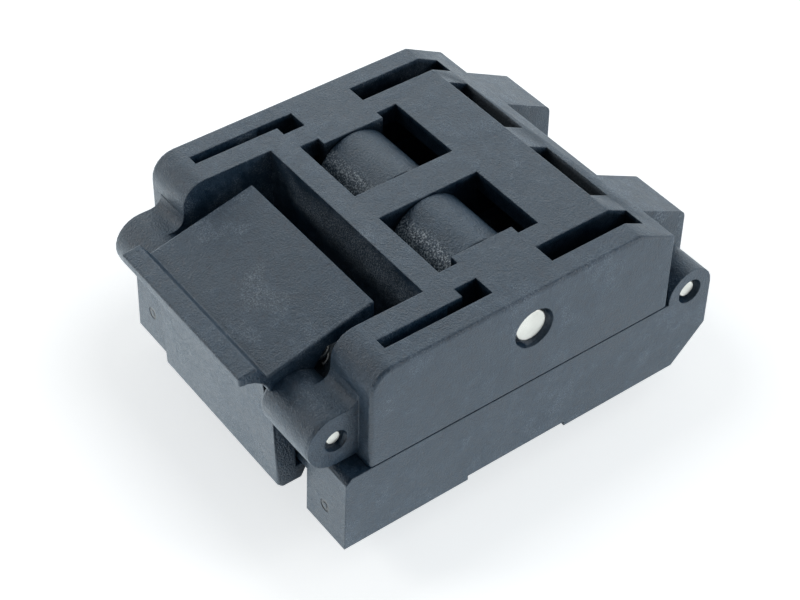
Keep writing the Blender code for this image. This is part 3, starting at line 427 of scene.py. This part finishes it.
def moulded_skin_group():
    """Moulded skin: fine grain, mottled flow, light edges, and pale specks from wear and from
    painted light.

    Change is the sum of four noises about their middle, grain, mottle, patch and cloud, times
    contrast. Tone is 1 plus a part of change, the light of edges and of natural wear, less a
    mark, and it scales the colour. A neutral pale colour comes on top for specks and a part of
    change. Specks are the peaks of a fine noise, and wear, with the painted light that shares
    its input, lowers the level over which a peak shows. A pocket's wall gets painted shade: it
    loses most of its colour and specular level. Roughness moves with cloud, mottle and specks,
    and height is the same noises less a mark.
    """
    if "moulded_skin" in bpy.data.node_groups:
        return bpy.data.node_groups["moulded_skin"]
    tree = bpy.data.node_groups.new("moulded_skin", "ShaderNodeTree")
    socket(tree, "Colour", "NodeSocketColor", "INPUT", (0.1, 0.1, 0.1, 1.0))
    for name, default in {
        "Grain size": 0.15 * MM,
        "Grain depth": 0.045 * MM,
        "Edge radius": 0.14 * MM,
        "Contrast": 1.0,
        "Edge light": 0.3,
        "Roughness": 0.44,
        "Speck amount": 0.5,
        "Wear and painted light": 0.0,
        "Mark": 0.0,
        "Painted pocket shade": 0.0,
    }.items():
        socket(tree, name, "NodeSocketFloat", "INPUT", default)
    socket(tree, "Colour", "NodeSocketColor", "OUTPUT")
    socket(tree, "Specular", "NodeSocketFloat", "OUTPUT")
    socket(tree, "Roughness", "NodeSocketFloat", "OUTPUT")
    socket(tree, "Normal", "NodeSocketVector", "OUTPUT")
    nodes, links = tree.nodes, tree.links
    given = nodes.new("NodeGroupInput").outputs
    out = nodes.new("NodeGroupOutput").inputs
    where = object_place(tree)
    calc, total = partial(math_node, tree), partial(weighted_sum, tree)

    fine_scale = calc("DIVIDE", 1.0, given["Grain size"])
    grain = noise_node(tree, where, fine_scale, 2.0, 0.65)
    mottle = noise_node(tree, where, calc("MULTIPLY", fine_scale, 0.33), 2.0, 0.6)
    patch = noise_node(tree, where, PATCH_SCALE, 3.0, 0.55)
    cloud = noise_node(tree, where, CLOUD_SCALE, 4.0, 0.55, 0.4)
    peaks = noise_node(tree, where, calc("MULTIPLY", fine_scale, 1.15), 3.0, 0.75)

    # An edge is where the bevelled normal turns away from the face's own.
    soft = nodes.new("ShaderNodeBevel")
    soft.samples = 6
    links.new(given["Edge radius"], soft.inputs["Radius"])
    flat = nodes.new("ShaderNodeNewGeometry").outputs["Normal"]
    turned = calc("SUBTRACT", 1.0, vector_node(tree, "DOT_PRODUCT", soft.outputs["Normal"], flat))
    edge = calc("MULTIPLY", turned, 3.5, clamp=True)

    # Natural wear lies where patch and cloud are high, a speck over a level that wear and painted
    # light lower.
    natural = calc("MULTIPLY", calc("SUBTRACT", calc("ADD", patch, cloud), 0.96), 4.5, clamp=True)
    edge_wear = calc("MULTIPLY", given["Edge light"], 0.5)
    wear_and_light = total(given["Wear and painted light"], (natural, given["Speck amount"]), (edge, edge_wear))
    wear_and_light = calc("MAXIMUM", wear_and_light, 0.0)
    capped_wear_and_light = calc("MINIMUM", wear_and_light, 1.0)
    level = total(0.62, (capped_wear_and_light, -0.13))
    speck = calc("MULTIPLY", calc("SUBTRACT", peaks, level), 8.0, clamp=True)
    speck = calc("MULTIPLY", speck, calc("ADD", 0.12, wear_and_light))

    shares = ((grain, 1.5), (mottle, 1.5), (patch, 0.9), (cloud, 0.6))
    change = total(-0.5 * sum(share for noise, share in shares), *shares)
    change = calc("MULTIPLY", change, given["Contrast"])
    tone = total(
        1.0, (change, 0.35), (edge, given["Edge light"]), (natural, 0.12), (given["Mark"], -0.9)
    )
    # Painted shade: on a pocket's wall the colour and the specular level drop to 0.3 of their own.
    unshaded_share = total(1.0, (given["Painted pocket shade"], -0.7))
    pale = calc("MULTIPLY", calc("MULTIPLY_ADD", change, 0.14, speck), unshaded_share)
    skin_colour = vector_node(tree, "SCALE", given["Colour"], calc("MULTIPLY", tone, unshaded_share))
    pale_colour = vector_node(tree, "SCALE", PALE, pale)
    links.new(vector_node(tree, "ADD", skin_colour, pale_colour), out["Colour"])
    links.new(calc("MULTIPLY", unshaded_share, SPECULAR), out["Specular"])

    rough = total(given["Roughness"], (calc("SUBTRACT", cloud, 0.5), 0.16))
    rough = total(rough, (calc("SUBTRACT", mottle, 0.5), 0.3))
    links.new(calc("MULTIPLY_ADD", speck, 0.12, rough, clamp=True), out["Roughness"])

    height = total(0.0, (grain, 1.6), (mottle, 0.5), (patch, 0.6), (given["Mark"], -5.0))
    height = total(height, (peaks, calc("MULTIPLY", capped_wear_and_light, 0.8)))
    bump = nodes.new("ShaderNodeBump")
    bump.inputs["Strength"].default_value = 1.0
    links.new(given["Grain depth"], bump.inputs["Distance"])
    links.new(height, bump.inputs["Height"])
    links.new(soft.outputs["Normal"], bump.inputs["Normal"])
    links.new(bump.outputs["Normal"], out["Normal"])
    return tree


def drawn_metal_group():
    """Metal skin: fine lathe or drawing lines along one axis, with cloudy tarnish.

    Lines is a fine noise, drawn out along the axis whose part of the stretch is small. The
    colour is scaled by 1.05 less dullness and a part of the lines, and dullness is the cloud
    times tarnish. Both move the roughness, and the lines are the height.
    """
    if "drawn_metal" in bpy.data.node_groups:
        return bpy.data.node_groups["drawn_metal"]
    tree = bpy.data.node_groups.new("drawn_metal", "ShaderNodeTree")
    socket(tree, "Colour", "NodeSocketColor", "INPUT", (0.8, 0.8, 0.8, 1.0))
    socket(tree, "Stretch", "NodeSocketVector", "INPUT", ROUND)
    socket(tree, "Roughness", "NodeSocketFloat", "INPUT", 0.2)
    socket(tree, "Tarnish", "NodeSocketFloat", "INPUT", 0.15)
    socket(tree, "Colour", "NodeSocketColor", "OUTPUT")
    socket(tree, "Roughness", "NodeSocketFloat", "OUTPUT")
    socket(tree, "Normal", "NodeSocketVector", "OUTPUT")
    links = tree.links
    given = tree.nodes.new("NodeGroupInput").outputs
    out = tree.nodes.new("NodeGroupOutput").inputs
    where = object_place(tree)
    calc, total = partial(math_node, tree), partial(weighted_sum, tree)

    stretched = vector_node(tree, "MULTIPLY", where, given["Stretch"])
    lines = noise_node(tree, stretched, LINE_SCALE, 2.0, 0.5)
    cloud = noise_node(tree, where, TARNISH_SCALE, 4.0, 0.5)
    dull = calc("MULTIPLY", cloud, given["Tarnish"])
    tone = total(1.05, (dull, -1.0), (lines, -0.08))
    links.new(vector_node(tree, "SCALE", given["Colour"], tone), out["Colour"])
    rough = total(given["Roughness"], (dull, 0.6))
    rough = calc("MULTIPLY_ADD", calc("SUBTRACT", lines, 0.5), 0.1, rough, clamp=True)
    links.new(rough, out["Roughness"])
    bump = tree.nodes.new("ShaderNodeBump")
    bump.inputs["Strength"].default_value = 0.35
    bump.inputs["Distance"].default_value = 0.003 * MM
    links.new(lines, bump.inputs["Height"])
    links.new(bump.outputs["Normal"], out["Normal"])
    return tree


def skinned_material(name, group, values, metallic=0.0):
    """A Principled material whose colour, roughness and normal come from one of the skins."""
    made = bpy.data.materials.new(name)
    made.use_nodes = True
    nodes, links = made.node_tree.nodes, made.node_tree.links
    shader = nodes["Principled BSDF"].inputs
    shader["Metallic"].default_value = metallic
    skin = nodes.new("ShaderNodeGroup")
    skin.node_tree = group
    for key, value in values.items():
        skin.inputs[key].default_value = value
    links.new(skin.outputs["Colour"], shader["Base Color"])
    links.new(skin.outputs["Roughness"], shader["Roughness"])
    links.new(skin.outputs["Normal"], shader["Normal"])
    made.diffuse_color = values["Colour"]
    return made


def skin_of(material):
    """The skin in a material."""
    return next(node for node in material.node_tree.nodes if node.type == "GROUP")


def place_spots(material, spots, name):
    """Add spots to one input of a skin.

    Each is centre, stretch, radius and band in mm, and strength.
    """
    tree = material.node_tree
    total = 0.0
    for centre, stretch, radius, band, strength in spots:
        spot = tree.nodes.new("ShaderNodeGroup")
        spot.node_tree = spot_group()
        spot.inputs["Centre"].default_value = [c * MM for c in centre]
        spot.inputs["Stretch"].default_value = stretch
        spot.inputs["Radius"].default_value = radius * MM
        spot.inputs["Band"].default_value = band * MM
        total = math_node(tree, "MULTIPLY_ADD", spot.outputs["Mask"], strength, total)
    tree.links.new(total, skin_of(material).inputs[name])


def dress(node, material):
    """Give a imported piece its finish."""
    mesh = NODES[node].data
    if not mesh.materials:
        mesh.materials.append(material)
    for i in range(len(mesh.materials)):
        mesh.materials[i] = material


def smooth_copy(node, body, material):
    """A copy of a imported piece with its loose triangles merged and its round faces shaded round.

    Flat faces are joined up again, sharp edges stay sharp, and each corner's normal leans to
    the larger faces, so broad flats stay flat beside small roundings.
    """
    shape = bmesh.new()
    shape.from_mesh(NODES[node].data)
    bmesh.ops.remove_doubles(shape, verts=shape.verts, dist=WELD)
    bmesh.ops.dissolve_limit(shape, angle_limit=FLAT, verts=shape.verts, edges=shape.edges)
    mesh = bpy.data.meshes.new(f"moulded_{node}")
    shape.to_mesh(mesh)
    shape.free()
    mesh.materials.append(material)
    mesh.shade_smooth()
    mesh.set_sharp_from_angle(angle=SHARP)
    made = bpy.data.objects.new(f"moulded_{node}", mesh)
    bpy.context.collection.objects.link(made)
    lean = made.modifiers.new("broad_faces_first", "WEIGHTED_NORMAL")
    lean.keep_sharp = True
    lean.weight = 80
    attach(made, body)
    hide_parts(node)


def grid_piece(name, grid, material):
    """A closed tube of quads from an array of rings, (rings, points, 3), with flat ends."""
    rings, points = grid.shape[:2]
    here = np.arange(rings * points).reshape(rings, points)
    after = np.roll(here, -1, axis=1)
    quads = np.stack([here[:-1], after[:-1], after[1:], here[1:]], axis=-1).reshape(-1, 4)
    mesh = bpy.data.meshes.new(name)
    faces = quads.tolist() + [here[0, ::-1].tolist(), here[-1].tolist()]
    mesh.from_pydata(grid.reshape(-1, 3).tolist(), [], faces)
    mesh.materials.append(material)
    mesh.shade_smooth()
    mesh.set_sharp_from_angle(angle=radians(50.0))
    made = bpy.data.objects.new(name, mesh)
    bpy.context.collection.objects.link(made)
    return made


def turned_along_x(axis_y, axis_z, profile, sides=96):
    """Rings of a turned piece: point = axis + r(s) * (0, cos t, sin t), moved to x(s) along X."""
    x, r = profile[:, :1], profile[:, 1:]
    t = np.linspace(0.0, 2 * pi, sides, endpoint=False)[None, :]
    return np.stack([x + 0 * t, axis_y + r * np.cos(t), axis_z + r * np.sin(t)], axis=-1)


def pin_rings(node, share):
    """Rings of a pin with round ends, as large as a packed one.

    At its ends x = end - c + c * sin t and r = R - c + c * cos t, where c is a share of R.
    """
    low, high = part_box(node)
    radius = (high[2] - low[2]) / 2
    corner = radius * share
    t = np.linspace(0.0, pi / 2, 9)
    end = np.stack(
        [high[0] - corner + corner * np.sin(t), radius - corner + corner * np.cos(t)], axis=1
    )
    profile = np.concatenate([end[::-1] * np.array([-1.0, 1.0]), end])
    return turned_along_x((low[1] + high[1]) / 2, (low[2] + high[2]) / 2, profile)


def carried_ring(path, radius, sides=16):
    """Rings along a path: centre(s) + radius * (N cos t + B sin t).

    N is one fixed slanting direction with its part along the path's tangent taken out, and B
    is the tangent crossed with N, so no ring turns over along a coil.
    """
    tangent = np.gradient(path, axis=0)
    tangent /= np.linalg.norm(tangent, axis=1, keepdims=True)
    slant = np.array([0.62, 0.58, 0.53])
    normal = slant - (tangent @ slant)[:, None] * tangent
    normal /= np.linalg.norm(normal, axis=1, keepdims=True)
    other = np.cross(tangent, normal)
    t = np.linspace(0.0, 2 * pi, sides, endpoint=False)
    ring = normal[:, None] * np.cos(t)[None, :, None] + other[:, None] * np.sin(t)[None, :, None]
    return path[:, None] + radius * ring


def even_path(corners, spacing, turn):
    """Points at even steps along a line of corners, each corner blended over a length of turn.

    The line is sampled by arc length, then smoothed by a moving mean as wide as the turn and
    weighted to its middle.
    """
    steps = np.linalg.norm(np.diff(corners, axis=0), axis=1)
    along = np.concatenate([[0.0], np.cumsum(steps)])
    count = int(along[-1] / spacing) + 1
    at = np.linspace(0.0, along[-1], count)
    line = np.stack([np.interp(at, along, corners[:, i]) for i in range(3)], axis=1)
    width = max(3, int(turn / (along[-1] / (count - 1))) | 1)
    before = 2 * line[0] - line[width // 2 : 0 : -1]
    after = 2 * line[-1] - line[-2 : -2 - width // 2 : -1]
    padded = np.concatenate([before, line, after])
    kernel = np.hanning(width + 2)[1:-1]
    kernel /= kernel.sum()
    return np.stack([np.convolve(padded[:, i], kernel, mode="valid") for i in range(3)], axis=1)


class SOCKET_OT_housings(bpy.types.Operator):
    """Give the base, lid, latch and nest their moulded finish"""

    bl_idname = "socket.housings"
    bl_label = "Moulded Housings"

    def execute(self, context):
        plastic = context.scene.socket_plastic
        values = {
            "Colour": (*plastic.housing, 1.0),
            "Grain size": plastic.grain,
            "Grain depth": plastic.grain_depth,
            "Edge radius": plastic.edge,
            "Contrast": 1.4,
            "Speck amount": 0.85,
            "Edge light": 0.3,
            "Roughness": plastic.roughness,
        }
        moulded = skinned_material("moulded_black", moulded_skin_group(), values)
        # Wear spots, and one spot of painted light on the upper part of the recess's rear wall.
        place_spots(moulded, WEAR_AND_LIGHT_SPOTS, "Wear and painted light")
        place_spots(moulded, MOULD_MARKS, "Mark")
        tree, skin = moulded.node_tree, skin_of(moulded)
        # Painted shade on the walls of the lid's windows and slots, in colour and specular level.
        tree.links.new(pocket_shade_mask(tree), skin.inputs["Painted pocket shade"])
        shader = tree.nodes["Principled BSDF"].inputs
        tree.links.new(skin.outputs["Specular"], shader["Specular IOR Level"])
        for node, body in HOUSINGS.items():
            smooth_copy(node, body, moulded)
        return {"FINISHED"}


class SOCKET_OT_pressure_pad(bpy.types.Operator):
    """Give the pressure pad its coarser, speckled finish"""

    bl_idname = "socket.pressure_pad"
    bl_label = "Pressure Pad"

    def execute(self, context):
        plastic = context.scene.socket_plastic
        values = {
            "Colour": (*plastic.pad, 1.0),
            "Grain size": plastic.grain * 1.1,
            "Grain depth": plastic.grain_depth * 1.5,
            "Edge radius": plastic.edge * 2.0,
            "Contrast": 1.2,
            "Speck amount": 0.15,
            "Edge light": 0.2,
            "Roughness": plastic.roughness,
        }
        speckled = skinned_material("pad_black", moulded_skin_group(), values)
        # Pale worn specks on the knuckles' fronts, brightened as a painted highlight.
        place_spots(speckled, PAD_SPECK_AND_HIGHLIGHT_SPOTS, "Wear and painted light")
        shader = speckled.node_tree.nodes["Principled BSDF"].inputs
        shader["Specular IOR Level"].default_value = SPECULAR
        smooth_copy("pressure_pad", "pad", speckled)
        return {"FINISHED"}


class SOCKET_OT_pins(bpy.types.Operator):
    """Turn the hinge pin, the pad's axle and the latch pin with rounded ends"""

    bl_idname = "socket.pins"
    bl_label = "Ground Pins"

    def execute(self, context):
        metal = context.scene.socket_metal
        values = {
            "Colour": (*metal.steel, 1.0),
            "Stretch": (0.02, 1.0, 1.0),
            "Roughness": 0.22,
            "Tarnish": 0.3,
        }
        steel = skinned_material("bright_steel", drawn_metal_group(), values, metallic=1.0)
        for node, body in PINS.items():
            piece = grid_piece(f"ground_{node}", pin_rings(node, metal.pin_round), steel)
            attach(piece, body)
            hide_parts(node)
        return {"FINISHED"}


def latch_spring_rings(node, wire, turns):
    """Rings of a coil: point = axis + R * (cos a, sin a), a = 2 pi * turns * s, rising with s."""
    low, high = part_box(node)
    radius = (high[0] - low[0] - wire) / 2
    bottom, top = low[2] + wire / 2, high[2] - wire / 2
    s = np.linspace(0.0, 1.0, int(turns * 48) + 1)
    angle = 2 * pi * turns * s
    x = (low[0] + high[0]) / 2 + radius * np.cos(angle)
    y = (low[1] + high[1]) / 2 + radius * np.sin(angle)
    return carried_ring(np.stack([x, y, bottom + (top - bottom) * s], axis=1), wire / 2, 14)


def hinge_spring_rings(wire):
    """Rings of the double torsion spring: foot, coil on the pin, and a bar across under the lid.

    A coil's point is the pin's axis + R * (cos a, sin a), with a going from the foot's side to
    where the wire leaves for the bar, and x falling evenly to the coil's start. The left half
    is the right one mirrored.
    """
    low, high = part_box("hinge_spring")
    radius = high[2] - wire / 2 - HINGE.z
    bar = np.array([low[1] + wire / 2 - HINGE.y, BAR_HEIGHT])
    leave = np.arctan2(bar[1], bar[0]) + np.arccos(radius / np.hypot(*bar))
    turn = COIL_TURNS * 2 * pi + (pi - leave) % (2 * pi)
    length = turn / (2 * pi) * COIL_PITCH
    s = np.linspace(0.0, 1.0, 260)
    angle = pi - turn * s
    y, z = HINGE.y + radius * np.cos(angle), HINGE.z + radius * np.sin(angle)
    coil = np.stack([COIL_START + length * (1 - s), y, z], axis=1)
    foot = np.array([[COIL_START + length, HINGE.y - radius, low[2]]])
    reach = np.array([[COIL_START, HINGE.y + bar[0], HINGE.z + bar[1]]])
    half = np.concatenate([foot, coil, reach])
    other = half[::-1] * np.array([-1.0, 1.0, 1.0])
    path = even_path(np.concatenate([half, other]), WIRE_STEP, WIRE_BEND)
    return carried_ring(path, wire / 2, 16)


class SOCKET_OT_springs(bpy.types.Operator):
    """Wind the hinge spring and the two latch springs from round wire"""

    bl_idname = "socket.springs"
    bl_label = "Wire Springs"

    def execute(self, context):
        metal = context.scene.socket_metal
        values = {
            "Colour": (*metal.wire, 1.0),
            "Roughness": 0.28,
            "Tarnish": 0.3,
        }
        spring = skinned_material("spring_steel", drawn_metal_group(), values, metallic=1.0)
        piece = grid_piece("wound_hinge_spring", hinge_spring_rings(metal.hinge_wire), spring)
        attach(piece, "base")
        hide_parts("hinge_spring")
        for side in ("left", "right"):
            node = f"latch_spring_{side}"
            rings = latch_spring_rings(node, metal.latch_wire, metal.latch_turns)
            piece = grid_piece(f"wound_{node}", rings, spring)
            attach(piece, "lid")
            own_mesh(piece)
            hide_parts(node)
        return {"FINISHED"}


class SOCKET_OT_contacts(bpy.types.Operator):
    """Plate the contacts"""

    bl_idname = "socket.contacts"
    bl_label = "Contacts"

    def execute(self, context):
        metal = context.scene.socket_metal
        values = {
            "Colour": (*metal.gold, 1.0),
            "Stretch": (1.0, 1.0, 0.05),
            "Roughness": 0.22,
            "Tarnish": 0.2,
        }
        gold = skinned_material("contact_gold", drawn_metal_group(), values, metallic=1.0)
        for node in CONTACTS:
            dress(node, gold)
        return {"FINISHED"}


def lamp(name, place, size, colour, power):
    """A rectangular soft lamp, weaker in reflections, that points at the object."""
    data = bpy.data.lights.new(name, "AREA")
    data.shape = "RECTANGLE"
    data.size, data.size_y = size
    data.energy = power
    data.color = colour
    data.specular_factor = LAMP_SHINE
    made = bpy.data.objects.new(name, data)
    bpy.context.collection.objects.link(made)
    made.location = place
    made.rotation_mode = "QUATERNION"
    made.rotation_quaternion = (Vector(LAMP_AIM) - Vector(place)).to_track_quat("-Z", "Y")


class SOCKET_OT_stage(bpy.types.Operator):
    """Set the camera, the pale sweep and the lamps"""

    bl_idname = "socket.stage"
    bl_label = "Stage"

    def execute(self, context):
        stage = context.scene.socket_stage
        self.camera(context)
        self.sweep(stage)
        lamp(*FRONT_LAMP, stage.key)
        lamp(*RIGHT_LAMP, stage.side)
        self.room(context, stage)
        context.scene.view_settings.view_transform = "Standard"
        return {"FINISHED"}

    def camera(self, context):
        """The photograph's view: a long lens from the right front, a little over 43 degrees up."""
        data = bpy.data.cameras.new("camera")
        data.sensor_width = SENSOR
        data.lens = FOCAL_PIXELS / PICTURE_PIXELS * SENSOR
        data.clip_start = 0.01
        made = bpy.data.objects.new("camera", data)
        context.collection.objects.link(made)
        turn = Matrix.Rotation(CAMERA_TURN.length, 3, CAMERA_TURN)
        right, down, ahead = (Vector(row) for row in turn)
        made.matrix_world = Matrix((right, -down, -ahead)).transposed().to_4x4()
        made.location = (IN_FRAME - turn.transposed() @ BEFORE_LENS) * MM
        context.scene.camera = made

    def sweep(self, stage):
        """A floor that curves up behind the object: z = R (1 - cos a) past the bend, flat before.

        Its paper adds light of its own. In reflections that changes in steps from the floor to
        the front and up the backdrop, and it falls off under the object. To the camera it is
        the floor's glow, less near the object.
        """
        a = np.linspace(0.0, pi / 2, 24)
        along = np.concatenate([[FORWARD], BEND_START + BEND * np.sin(a), [BEND_START + BEND]])
        rise = np.concatenate([[0.0], BEND * (1 - np.cos(a)), [HEIGHT]])
        across = np.linspace(-HALF_WIDTH, HALF_WIDTH, 13)
        ahead = np.array([-np.sin(SWEEP_TURN), np.cos(SWEEP_TURN)])
        side = np.array([np.cos(SWEEP_TURN), np.sin(SWEEP_TURN)])
        flat = along[:, None, None] * ahead + across[None, :, None] * side
        up = np.broadcast_to(rise[:, None, None], flat.shape[:2] + (1,))
        points = np.concatenate([flat, up], axis=-1)
        here = np.arange(points.shape[0] * points.shape[1]).reshape(points.shape[:2])
        quads = np.stack([here[:-1, :-1], here[:-1, 1:], here[1:, 1:], here[1:, :-1]], axis=-1)
        mesh = bpy.data.meshes.new("sweep")
        mesh.from_pydata(points.reshape(-1, 3).tolist(), [], quads.reshape(-1, 4).tolist())
        mesh.shade_smooth()
        mesh.materials.append(self.paper(stage))
        floor = bpy.data.objects.new("sweep", mesh)
        bpy.context.collection.objects.link(floor)

    def paper(self, stage):
        """The sweep's paper, with the light that it adds to the view and to reflections."""
        paper = bpy.data.materials.new("sweep_paper")
        paper.use_nodes = True
        tree = paper.node_tree
        calc = partial(math_node, tree)
        shader = tree.nodes["Principled BSDF"].inputs
        shader["Base Color"].default_value = (*stage.floor, 1.0)
        shader["Roughness"].default_value = 0.9
        shader["Specular IOR Level"].default_value = 0.0
        seen = tree.nodes.new("ShaderNodeLightPath").outputs
        place = parted(tree, object_place(tree))
        forward = calc("MULTIPLY_ADD", place["X"], 1.33, place["Y"])
        shine = 0.0
        # Steps of the shine: what each follows, from and to in metres, and its change.
        for value, low, high, change in (
            (place["Z"], -0.02, -0.01, stage.floor_shine),
            (forward, 0.03, -0.04, stage.front_shine),
            (place["Z"], 0.0, 0.05, stage.back_low - stage.floor_shine),
            (place["Z"], 0.1, 0.55, stage.back_high - stage.back_low),
        ):
            shine = calc("ADD", mapped(tree, value, low, high, 0.0, change), shine)
        away = self.footprint_distance(tree, place)
        shine = calc("MULTIPLY", shine, mapped(tree, away, 0.0, SHADE_REACH, SHADE_LEFT))
        shine = calc("MULTIPLY", shine, seen["Is Glossy Ray"])
        glow = mapped(tree, away, *GLOW_REACH, *(stage.floor_glow + g for g in GLOW_CHANGE))
        strength = calc("MULTIPLY_ADD", seen["Is Camera Ray"], glow, shine)
        tree.links.new(strength, shader["Emission Strength"])
        tint = tree.nodes.new("ShaderNodeMix")
        tint.data_type = "RGBA"
        ends = {end.identifier: end for end in (*tint.inputs, *tint.outputs)}
        ends["A_Color"].default_value = SEEN_TINT
        ends["B_Color"].default_value = SHINE_TINT
        tree.links.new(seen["Is Glossy Ray"], ends["Factor_Float"])
        tree.links.new(ends["Result_Color"], shader["Emission Color"])
        return paper

    def footprint_distance(self, tree, place):
        """Distance on the floor from a box a little inside the base's outline."""
        calc = partial(math_node, tree)
        outside = []
        for i, axis in enumerate("XY"):
            low, high = (corner[i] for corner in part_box("base_housing"))
            off = calc("ABSOLUTE", calc("SUBTRACT", place[axis], (low + high) / 2))
            off = calc("MAXIMUM", calc("SUBTRACT", off, (high - low) / 2 - FOOT_INSET), 0.0)
            outside.append(calc("MULTIPLY", off, off))
        return calc("SQRT", calc("ADD", *outside))

    def room(self, context, stage):
        """Light from all round: from the walls' level up to the ceiling's, more from the rear.

        Both follow a part of the direction, its height and its depth. The camera sees it white.
        """
        world = bpy.data.worlds.new("room")
        world.use_nodes = True
        context.scene.world = world
        tree = world.node_tree
        background = tree.nodes["Background"].inputs
        background["Color"].default_value = ROOM_TINT
        place = parted(tree, tree.nodes.new("ShaderNodeTexCoord").outputs["Generated"])
        level = mapped(tree, place["Z"], 0.1, 0.55, stage.walls, stage.ceiling, smooth=True)
        behind = mapped(tree, place["Y"], -0.6, 0.4, 0.4, 1.2)
        seen = tree.nodes.new("ShaderNodeLightPath").outputs
        light = math_node(tree, "MULTIPLY", level, behind)
        light = math_node(tree, "MAXIMUM", seen["Is Camera Ray"], light)
        tree.links.new(light, background["Strength"])


class SOCKET_PT_panel(bpy.types.Panel):
    bl_idname = "SOCKET_PT_panel"
    bl_label = "Test Socket"
    bl_space_type = "VIEW_3D"
    bl_region_type = "UI"
    bl_category = "Test Socket"

    def draw(self, context):
        scene = context.scene
        for group in (scene.socket_plastic, scene.socket_metal, scene.socket_stage):
            box = self.layout.box()
            for name in group.__annotations__:
                box.prop(group, name)
        for step in OPERATORS:
            self.layout.operator(step.bl_idname)


GROUPS = {"socket_plastic": SocketPlastic, "socket_metal": SocketMetal, "socket_stage": SocketStage}
OPERATORS = (
    SOCKET_OT_housings,
    SOCKET_OT_pressure_pad,
    SOCKET_OT_pins,
    SOCKET_OT_springs,
    SOCKET_OT_contacts,
    SOCKET_OT_stage,
)


def register():
    for name, group in GROUPS.items():
        bpy.utils.register_class(group)
        setattr(bpy.types.Scene, name, bpy.props.PointerProperty(type=group))
    for step in (*OPERATORS, SOCKET_PT_panel):
        bpy.utils.register_class(step)


def unregister():
    for step in (SOCKET_PT_panel, *reversed(OPERATORS)):
        bpy.utils.unregister_class(step)
    for name, group in GROUPS.items():
        delattr(bpy.types.Scene, name)
        bpy.utils.unregister_class(group)


def main():
    register()
    bpy.ops.socket.housings()
    bpy.ops.socket.pressure_pad()
    bpy.ops.socket.pins()
    bpy.ops.socket.springs()
    bpy.ops.socket.contacts()
    bpy.ops.socket.stage()


if __name__ == "__main__":
    main()
